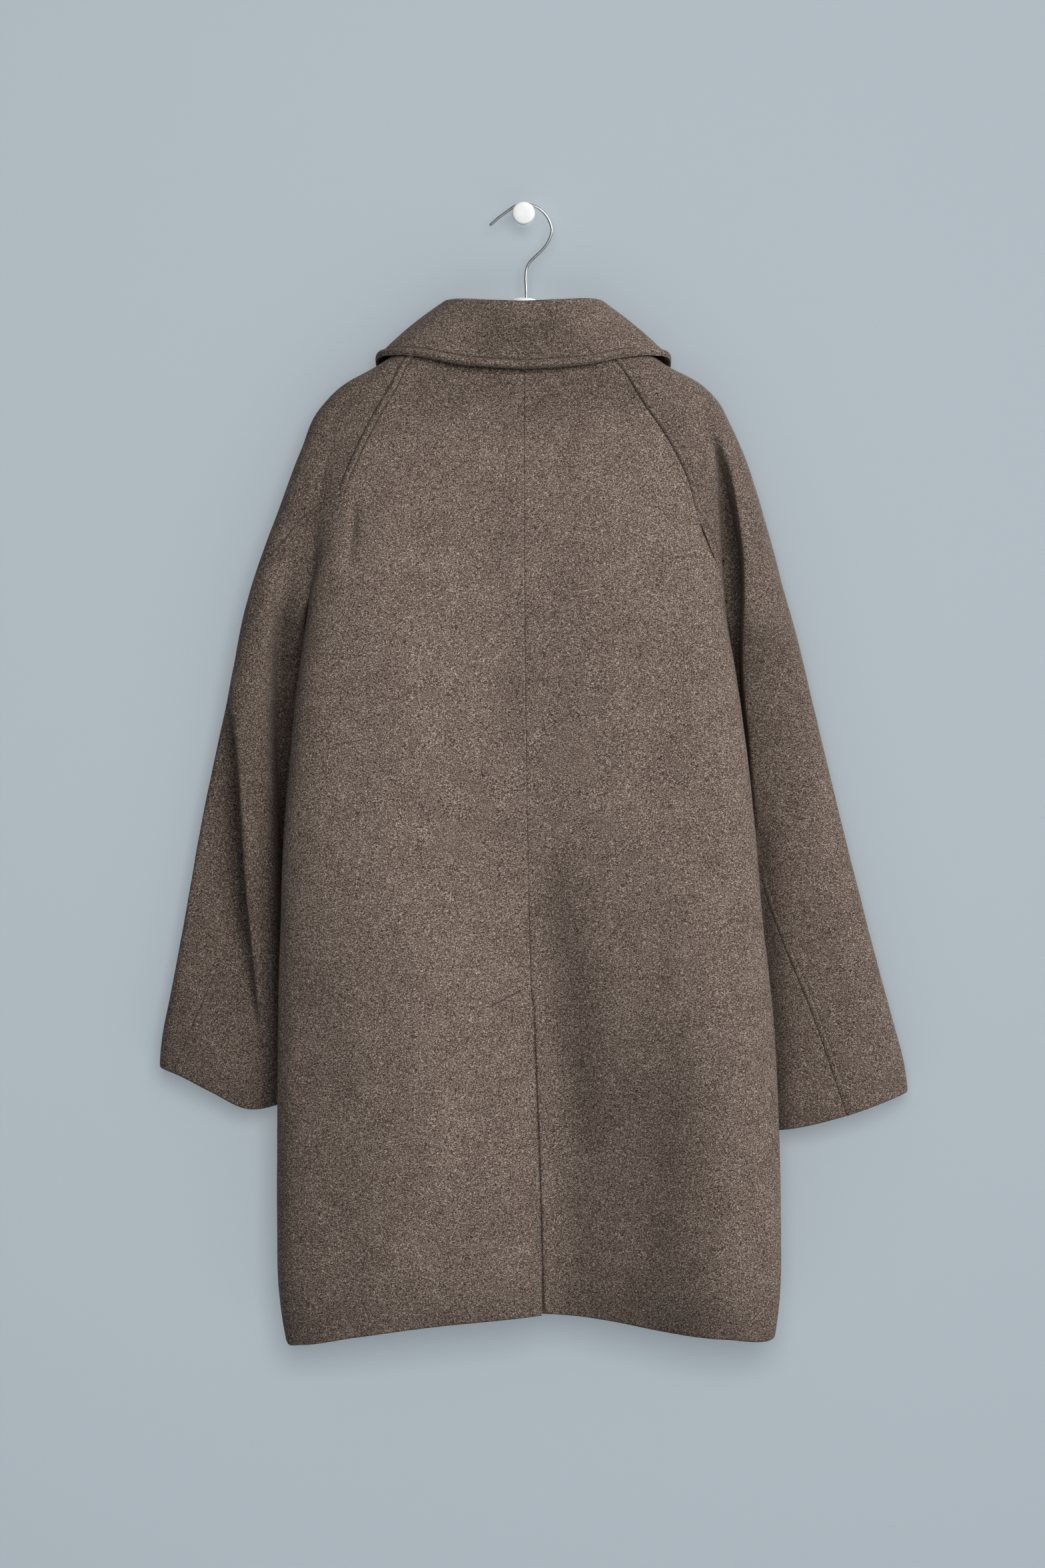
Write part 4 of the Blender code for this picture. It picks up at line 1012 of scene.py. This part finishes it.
def collar_section(along, neck, side):
    """Lay one section of the collar's face: up the stand, over the roll and down the fall."""
    at = {name: float(curve(along)) for name, curve in COLLAR_AT.items()}
    roll = np.array([SIGN[side] * at["roll_x"], at["roll_y"], -at["roll_drop"]])
    edge = np.array([SIGN[side] * at["edge_x"], at["edge_y"], -at["edge_drop"]])
    out = np.array([roll[0], roll[1] - NECK_AXIS_Y, 0.0])
    out /= np.linalg.norm(out)
    up = np.array([0.0, 0.0, 1.0])
    centre = roll - up * COLLAR_ROLL_RADIUS
    foot = neck + up * COLLAR_STAND_GAP - out * (CLOTH_WALL + COLLAR_FOOT_GAP)
    run = float((edge - centre) @ out)
    rise = float((edge - centre) @ up)
    leave = math.atan2(rise, run) + math.acos(COLLAR_ROLL_RADIUS / math.hypot(run, rise))
    angles = np.linspace(math.pi, leave, COLLAR_ROLL_ROWS)
    arc = [centre + COLLAR_ROLL_RADIUS * (math.cos(a) * out + math.sin(a) * up) for a in angles]
    stand = [foot + (arc[0] - foot) * share for share in np.linspace(0, 1, COLLAR_STAND_ROWS)[:-1]]
    fall = edge - arc[-1]
    length = np.linalg.norm(fall)
    bow = out - fall * float(out @ fall) / length ** 2
    bow *= COLLAR_BELLY / np.linalg.norm(bow)
    near_edge = 1 - np.array(COLLAR_EDGE_STEPS) / length
    shares = np.concatenate([np.linspace(0, near_edge[0], COLLAR_FALL_ROWS)[1:-1], near_edge])
    spread = [arc[-1] + fall * share + bow * math.sin(math.pi * share) for share in shares]
    return np.array(stand + arc + spread)


def collar_shell(grids, wool):
    """Build the turned-down collar from sections round the neck, with a plump stitched edge."""
    sections = []
    for side in SIDES:
        ring = neck_ring(grids, side)
        length = path_length(ring)
        half = []
        for along in places(length[-1], length[-1] / COLLAR_COLUMNS_HALF):
            neck = along_path(ring, length, along * length[-1])
            half.append(collar_section(along, neck, side))
        sections.append(half)
    grid = np.array(sections[0][:0:-1] + sections[1])
    facing = -1.0
    normals = grid_normals(grid, facing)
    edge = edge_distance(grid, "right")
    ends = np.minimum(edge_distance(grid, "top"), edge_distance(grid, "bottom"))
    from_edge = np.minimum(edge, ends)
    welt = welt_relief(from_edge, COLLAR_STITCH_LINE, COLLAR_WELT_HEIGHT, COLLAR_GROOVE)
    free = rounded(from_edge, FREE_ROUND)
    soft = lumps(grid)
    outer = grid + normals * (soft + welt - free)[..., None]
    inner = grid + normals * (soft - COLLAR_WALL + free)[..., None]
    piece = shell_piece("cloth_collar", outer, inner, facing, wool, "collar")
    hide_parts("collar")
    return piece, outer, normals


def underlap_shell(wool):
    """Build the strip that carries on from the right back's edge under the left back at the vent."""
    drop = np.linspace(VENT_DROP + VENT_LAP_RISE[1], UNDERLAP_FOOT, UNDERLAP_ROWS)[:, None]
    back = np.linspace(UNDERLAP_GAP, UNDERLAP_WIDTH, UNDERLAP_COLUMNS)[None, :]
    x = CENTRE_BACK_AT(drop) - VENT_LAP - back
    y = trunk_face("left", "back", -x, drop + 0 * x) + VENT_SINK
    grid = np.stack([x, y, -(drop + 0 * x)], axis=2)
    facing = -1.0
    normals = grid_normals(grid, facing)
    centre_hem = HEM_BACK["left"][0][1]
    soft = -crease_relief("body", grid, normals) - hem_tuck("back", centre_hem - drop)
    outer = grid + normals * soft[..., None]
    piece = shell_piece("cloth_vent_underlap", outer, outer - normals * CLOTH_WALL, facing, wool, "underlap")
    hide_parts("vent_underlap")
    return piece


# Painted shade: darker copies of the wool for the sleeves and collar, standing in for the shade on their
# faces
PAINTED_DIMMING = {"body": 1.0, "sleeve": 0.80, "collar": 0.86}
wools = {name: wool_material(f"wool_{name}", painted_dim) for name, painted_dim in PAINTED_DIMMING.items()}
grids = {}
pieces = {}
outers = {}
for side in SIDES:
    for panel in PANEL_GRIDS:
        name = PANEL_NAMES[panel].format(side)
        wool = wools["sleeve" if panel in ("top", "under") else "body"]
        piece, outer, normals, grid = panel_shell(side, panel, wool)
        pieces[name] = piece
        outers[name] = (outer, normals)
        grids[name] = grid
pieces["collar"], collar_outer, collar_normals = collar_shell(grids, wools["collar"])
pieces["vent_underlap"] = underlap_shell(wools["body"])

# Hanger, hook, peg and buttons

HANGER_Y = -36.0
HANGER_PATH = ((-176, -194), (-146, -172), (-100, -141), (-50, -121), (0, -114), (50, -121), (100, -141),
               (146, -173), (172, -193))
HANGER_HALF_DEPTH = 8.0
HANGER_HALF_HEIGHT = 8.0
HANGER_POINTS = 90
HANGER_SIDES = 28
HANGER_NECK_SIDES = 48
HANGER_NECK_PROFILE = ((0.0, -85.9), (4.0, -86.0), (8.0, -86.5), (11.5, -87.4), (14.0, -88.9), (15.0, -91.0),
                       (15.0, -108.0), (14.0, -112.0), (10.0, -115.0), (0.0, -116.0))
HOOK_WIRE_RADIUS = 1.5
HOOK_POINTS = 150
HOOK_SIDES = 20
HOOK_Y = -34.0
HOOK_PATH = ((-33.6, -10.6), (-26, -4), (-16.7, 2.9), (-8.5, 8.4), (0, 10.2), (9.9, 8.9), (20.2, 2.2),
             (26.8, -7.4), (29, -16.2), (26.8, -25), (20.9, -34.6), (12.8, -42.7), (6.2, -49.4),
             (3.2, -56), (2.2, -64.9), (2.6, -75.0), (3.0, -86.5))
PEG_PROFILE = ((0.0, 0.0), (8.1, 0.0), (8.1, -39.0), (8.5, -39.6), (10.4, -40.0), (11.2, -40.6),
               (11.5, -41.6), (11.5, -46.0), (11.3, -46.9), (10.7, -47.6), (9.8, -48.0), (6.0, -48.2),
               (0.0, -48.3))
BUTTON_DROPS = (310.0, 460.0, 610.0, 760.0)
BUTTON_CLEARANCE = 0.5
BUTTON_PROFILE = ((0.0, 0.0), (10.4, 0.0), (11.5, 0.5), (12.0, 1.5), (11.9, 2.9), (11.3, 3.7), (10.3, 4.0),
                  (9.2, 3.7), (8.2, 2.9), (7.0, 2.6), (0.0, 2.6))
BUTTON_HOLE_PLACE = 2.3
BUTTON_HOLE_RADIUS = 1.0
BUTTON_HOLE_SIDES = 16
HOLE_PROFILE = ((0.0, -1.0), (BUTTON_HOLE_RADIUS, -1.0), (BUTTON_HOLE_RADIUS, 5.0), (0.0, 5.0))
TURNED_SIDES = 72
SHARP_ANGLE = math.radians(40)
# Rounded ends of a swept tube: how far out each ring lies, and its size, as shares of the radius
TUBE_END = ((0.45, 0.893), (0.8, 0.6), (1.0, 0.05))


def turned_mesh(profile, sides, axis, place):
    """Turn a profile of radius and height about an axis through a place; its ends lie on the axis."""
    angles = np.linspace(0, 2 * math.pi, sides, endpoint=False)
    rings = [(r, h) for r, h in profile if r > 0]
    points = [(0.0, 0.0, profile[0][1]), (0.0, 0.0, profile[-1][1])]
    for r, h in rings:
        points.extend((r * math.cos(a), r * math.sin(a), h) for a in angles)
    faces = []
    last = 2 + (len(rings) - 1) * sides
    for step in range(sides):
        after = (step + 1) % sides
        faces.append((0, 2 + after, 2 + step))
        faces.append((1, last + step, last + after))
        for ring in range(len(rings) - 1):
            low = 2 + ring * sides
            faces.append((low + step, low + after, low + sides + after, low + sides + step))
    points = np.array(points)
    if profile[-1][1] < profile[0][1]:
        faces = [face[::-1] for face in faces]
    if axis == "y":
        points = points[:, [0, 2, 1]]
        faces = [face[::-1] for face in faces]
    return points + np.array(place), faces


def smooth_path(points, count):
    """Lay evenly spaced points on a smooth curve through a list of points."""
    points = np.array(points, dtype=float)
    length = path_length(points)
    even = np.linspace(0, length[-1], count)
    columns = [smooth_curve(np.column_stack([length, column]))(even) for column in points.T]
    return np.stack(columns, axis=1)


def tube_mesh(path, half_side, half_up, sides, side_way):
    """Sweep an ellipse along a path, with rounded ends; side_way is the direction of its side radius."""
    path = np.asarray(path, dtype=float)
    tangent = np.gradient(path, axis=0)
    tangent /= np.linalg.norm(tangent, axis=1, keepdims=True)
    side_way = np.broadcast_to(np.asarray(side_way, dtype=float), path.shape)
    up_way = np.cross(tangent, side_way)
    up_way /= np.linalg.norm(up_way, axis=1, keepdims=True)
    side_way = np.cross(up_way, tangent)
    rings = [(path[0] - tangent[0] * half_up * out, 0, size) for out, size in TUBE_END[::-1]]
    rings += [(point, index, 1.0) for index, point in enumerate(path)]
    rings += [(path[-1] + tangent[-1] * half_up * out, -1, size) for out, size in TUBE_END]
    angles = np.linspace(0, 2 * math.pi, sides, endpoint=False)
    points = []
    for centre, index, share in rings:
        for angle in angles:
            offset = half_up * math.cos(angle) * up_way[index] + half_side * math.sin(angle) * side_way[index]
            points.append(centre + share * offset)
    faces = []
    for ring in range(len(rings) - 1):
        for step in range(sides):
            a = ring * sides + step
            b = ring * sides + (step + 1) % sides
            faces.append((a, b, b + sides, a + sides))
    last = (len(rings) - 1) * sides
    faces.append(tuple(range(sides - 1, -1, -1)))
    faces.append(tuple(range(last, last + sides)))
    return np.array(points), faces


def joined(meshes):
    """Put several lists of points and faces together in one."""
    points = []
    faces = []
    count = 0
    for some_points, some_faces in meshes:
        points.append(some_points)
        faces.extend(tuple(count + corner for corner in face) for face in some_faces)
        count += len(some_points)
    return np.concatenate(points), faces


def in_plane(points, y):
    """Put points of x and z in the plane at y."""
    return [(x, y, z) for x, z in points]


def boolean_result(item, tool, operation):
    """Apply a Boolean to a piece and remove its tool."""
    modifier = item.modifiers.new(operation.lower(), "BOOLEAN")
    modifier.operation = operation
    modifier.solver = "EXACT"
    modifier.object = tool
    mesh = bpy.data.meshes.new_from_object(item.evaluated_get(bpy.context.evaluated_depsgraph_get()))
    item.modifiers.clear()
    item.data = mesh
    bpy.data.objects.remove(tool)
    mesh.set_sharp_from_angle(angle=SHARP_ANGLE)


steel = speckled_material("steel", (0.40, 0.40, 0.39), (0.52, 0.52, 0.50), 300.0, 0.32, 1.0)
paint = speckled_material("white_paint", (0.80, 0.80, 0.79), (0.86, 0.86, 0.85), 60.0, 0.42,
                          bump_distance=0.0001)
horn = speckled_material("horn", (0.03, 0.02, 0.014), (0.09, 0.062, 0.042), 90.0, 0.35)

hook_path = smooth_path(in_plane(HOOK_PATH, HOOK_Y), HOOK_POINTS)
wire = tube_mesh(hook_path, HOOK_WIRE_RADIUS, HOOK_WIRE_RADIUS, HOOK_SIDES, (0, 1, 0))
hook = mesh_piece("hook", *wire, steel, "steel")
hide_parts("hanger_hook")
arms_path = smooth_path(in_plane(HANGER_PATH, HANGER_Y), HANGER_POINTS)
arms = tube_mesh(arms_path, HANGER_HALF_DEPTH, HANGER_HALF_HEIGHT, HANGER_SIDES, (0, 1, 0))
hanger = mesh_piece("hanger", *arms, paint, "white_paint")
turned_neck = turned_mesh(HANGER_NECK_PROFILE, HANGER_NECK_SIDES, "z", (0, HANGER_Y, 0))
neck = mesh_piece("hanger_neck", *turned_neck, paint, "white_paint")
boolean_result(hanger, neck, "UNION")
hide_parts("hanger_arms")
peg = mesh_piece("peg", *turned_mesh(PEG_PROFILE, TURNED_SIDES, "y", (0, 0, 0)), paint, "white_paint")
peg.data.set_sharp_from_angle(angle=SHARP_ANGLE)
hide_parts("wall_peg")
for number, drop in enumerate(BUTTON_DROPS, start=1):
    base = float(TRUNK_AT["front"](drop)) + BUTTON_CLEARANCE
    points, faces = turned_mesh(BUTTON_PROFILE, TURNED_SIDES, "y", (0, base, -drop))
    button = mesh_piece(f"horn_button_{number}", points, faces, horn, "horn")
    corners = [(i * BUTTON_HOLE_PLACE, base, k * BUTTON_HOLE_PLACE - drop) for i in (-1, 1) for k in (-1, 1)]
    holes = joined([turned_mesh(HOLE_PROFILE, BUTTON_HOLE_SIDES, "y", corner) for corner in corners])
    boolean_result(button, mesh_piece("holes", *holes, horn, "horn"), "DIFFERENCE")
    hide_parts(f"button_{number}")

# Sewing thread: topstitching, buttonholes and the bars that hold the buttons
STITCH_LENGTH = 3.0
STITCH_PITCH = 4.2
STITCH_RADIUS = 0.4
STITCH_LIFT = 0.05
STITCH_SIDES = 6
STITCH_POINTS = 3
SEAM_SHOWS_STITCHES = 0.35
VENT_TACK = ((5.0, 788.5), (-34.0, 809.0))
VENT_TACK_POINTS = 24
BUTTONHOLE_ENDS = (-25.0, 3.0)
BUTTONHOLE_HALF_HEIGHT = 1.5
BUTTONHOLE_BEAD = 0.7
BUTTONHOLE_POINTS = 41
BUTTON_WELL = 2.6
# A thread bar over a button from hole to hole: place, as a share of the hole's place, and rise
BUTTON_BAR = ((-1, -0.6), (0, 0.5), (1, -0.6))
RAY_START = 1000.0


def stitch_row(points, normals):
    """Lay short stitches along a line of points on the cloth."""
    length = path_length(points)
    meshes = []
    for start in np.arange(0.0, length[-1] - STITCH_LENGTH, STITCH_PITCH):
        spots = np.linspace(start, start + STITCH_LENGTH, STITCH_POINTS)
        facing = along_path(normals, length, spots[STITCH_POINTS // 2])
        path = along_path(points, length, spots) + facing * STITCH_LIFT
        meshes.append(tube_mesh(path, STITCH_RADIUS, STITCH_RADIUS, STITCH_SIDES, facing))
    return meshes


def unbroken(wanted):
    """Split a row of yes and no values into its runs of yes, as starts and ends."""
    turns = np.flatnonzero(np.diff(np.concatenate([[0], wanted.astype(int), [0]])))
    return zip(turns[::2], turns[1::2])


def laid_on(piece, places_on_face, way):
    """Lay points of x and drop on the face of a piece that looks along -y or +y."""
    mesh = piece.data
    tree = BVHTree.FromPolygons([v.co / MM for v in mesh.vertices], [p.vertices for p in mesh.polygons])
    points = []
    normals = []
    for x, drop in places_on_face:
        point, normal, _, _ = tree.ray_cast(Vector((x, way * RAY_START, -drop)), Vector((0.0, -way, 0.0)))
        points.append(point)
        normals.append(normal)
    return np.array(points), np.array(normals)


thread = speckled_material("thread", (0.030, 0.022, 0.018), (0.065, 0.049, 0.040), 700.0, 0.85)
sewing = []
stitch_column = WELT_STEPS.index(STITCH_LINE)
for side in SIDES:
    outer, normals = outers[f"sleeve_{side}_top"]
    shown = smooth_curve(SEAM_SHOWS[side])(-outer[:, stitch_column, 2]) > SEAM_SHOWS_STITCHES
    for first, last in unbroken(shown):
        sewing += stitch_row(outer[first:last, stitch_column], normals[first:last, stitch_column])
    sewing += stitch_row(outer[:, -1 - stitch_column], normals[:, -1 - stitch_column])
collar_column = COLLAR_EDGE_STEPS.index(COLLAR_STITCH_LINE) - len(COLLAR_EDGE_STEPS)
inside_ends = np.minimum(edge_distance(collar_outer, "top"), edge_distance(collar_outer, "bottom"))
kept = inside_ends[:, collar_column] > COLLAR_STITCH_LINE
sewing += stitch_row(collar_outer[kept, collar_column], collar_normals[kept, collar_column])
tack = np.linspace(*VENT_TACK, VENT_TACK_POINTS)
sewing += stitch_row(*laid_on(pieces["back_left"], tack, -1.0))
mesh_piece("stitches", *joined(sewing), thread, "wool")

bars = []
for drop in BUTTON_DROPS:
    turns = np.linspace(0, 2 * math.pi, BUTTONHOLE_POINTS)
    middle = sum(BUTTONHOLE_ENDS) / 2
    half_length = (BUTTONHOLE_ENDS[1] - BUTTONHOLE_ENDS[0]) / 2
    loop = [(middle + half_length * math.cos(a), drop + BUTTONHOLE_HALF_HEIGHT * math.sin(a)) for a in turns]
    bead, facing = laid_on(pieces["front_left"], loop, 1.0)
    bars.append(tube_mesh(bead, BUTTONHOLE_BEAD, BUTTONHOLE_BEAD, STITCH_SIDES, facing))
    well = float(TRUNK_AT["front"](drop)) + BUTTON_CLEARANCE + BUTTON_WELL
    for level in (-BUTTON_HOLE_PLACE, BUTTON_HOLE_PLACE):
        bar = [(share * BUTTON_HOLE_PLACE, well + rise, level - drop) for share, rise in BUTTON_BAR]
        bars.append(tube_mesh(bar, BUTTONHOLE_BEAD, BUTTONHOLE_BEAD, STITCH_SIDES, (0, 1, 0)))
mesh_piece("button_threads", *joined(bars), thread, "wool")

# Camera
PHOTO_HEIGHT = 1.599
CAMERA_DISTANCE = 5.0
SENSOR_HEIGHT = 24.0
CENTRE = Vector((-0.001, -0.06, -0.584))
camera = bpy.data.cameras.new("camera")
camera.sensor_fit = "VERTICAL"
camera.sensor_height = SENSOR_HEIGHT
camera.lens = SENSOR_HEIGHT * CAMERA_DISTANCE / PHOTO_HEIGHT
camera_item = bpy.data.objects.new("camera", camera)
camera_item.location = CENTRE + Vector((0.0, -CAMERA_DISTANCE, 0.0))
camera_item.rotation_euler = (math.radians(90), 0.0, 0.0)
bpy.context.scene.collection.objects.link(camera_item)
bpy.context.scene.camera = camera_item

# Stage
FLOOR_Z = -1.75
WALL_Y = 0.001
WALL_TOP = 3.0
STAGE_HALF_WIDTH = 4.0
STAGE_HALF_DEPTH = 6.0
STAGE_ROUGHNESS = 0.9
WALL_COLOUR = (0.50, 0.565, 0.61)
FLOOR_COLOUR = (0.80, 0.81, 0.81)


def stage_plane(name, near, far, colour, one_sided):
    """Make a plain backdrop or floor between two lines of y and z; a one-sided one is clear from behind."""
    mesh = bpy.data.meshes.new(name)
    half = STAGE_HALF_WIDTH
    mesh.from_pydata([(-half, *near), (half, *near), (half, *far), (-half, *far)], [], [(0, 1, 2, 3)])
    material, tree, shader = new_material(name)
    set_inputs(shader, {"Base Color": (*colour, 1.0), "Roughness": STAGE_ROUGHNESS})
    if one_sided:
        geometry = add_node(tree, "ShaderNodeNewGeometry")
        clear = add_node(tree, "ShaderNodeBsdfTransparent")
        links = [(0, geometry.outputs["Backfacing"]), (1, shader.outputs[0]), (2, clear.outputs[0])]
        mix = add_node(tree, "ShaderNodeMixShader", links)
        tree.links.new(mix.outputs[0], tree.nodes["Material Output"].inputs["Surface"])
    mesh.materials.append(material)
    item = bpy.data.objects.new(name, mesh)
    bpy.context.scene.collection.objects.link(item)
    return item


backdrop = stage_plane("backdrop", (WALL_Y, FLOOR_Z), (WALL_Y, WALL_TOP), WALL_COLOUR, True)
backdrop.visible_shadow = False
floor = stage_plane("floor", (-STAGE_HALF_DEPTH, FLOOR_Z), (STAGE_HALF_DEPTH, FLOOR_Z), FLOOR_COLOUR, False)

# Lights: place, size in metres, power in watts, and what they light; the coat casts no shadow from wash_clear
WORLD_LIGHT = {"Color": (0.80, 0.86, 0.91, 1.0), "Strength": 0.18}
LIGHT_AIM = Vector((0.0, -0.06, -0.58))
LIGHTS = {
    "front": ((0.9, -2.2, 0.85), 1.6, 30.0, "coat"),
    "key": ((2.8, -2.6, 1.1), 3.0, 122.0, "coat"),
    "wash": ((0.3, -4.6, 0.25), 2.2, 80.0, "stage"),
    "wash_clear": ((0.3, -4.6, 0.25), 2.2, 60.0, "stage"),
    "wall_side": ((0.9, 2.6, 0.6), 2.0, 60.0, "coat"),
}
lit = {"coat": bpy.data.collections.new("coat"), "stage": bpy.data.collections.new("stage")}
for item in bpy.context.scene.objects:
    if item.type == "MESH":
        lit["stage" if item in (backdrop, floor) else "coat"].objects.link(item)
for name, (place, size, power, on) in LIGHTS.items():
    light = bpy.data.lights.new(name, "AREA")
    light.size = size
    light.energy = power
    item = bpy.data.objects.new(name, light)
    item.location = place
    item.rotation_euler = (LIGHT_AIM - Vector(place)).to_track_quat("-Z", "Y").to_euler()
    item.light_linking.receiver_collection = lit[on]
    item.visible_camera = False
    if name == "wash_clear":
        item.light_linking.blocker_collection = lit["stage"]
    bpy.context.scene.collection.objects.link(item)
world = bpy.data.worlds.new("studio")
world.use_nodes = True
set_inputs(world.node_tree.nodes["Background"], WORLD_LIGHT)
bpy.context.scene.world = world
bpy.context.scene.view_settings.view_transform = "Standard"
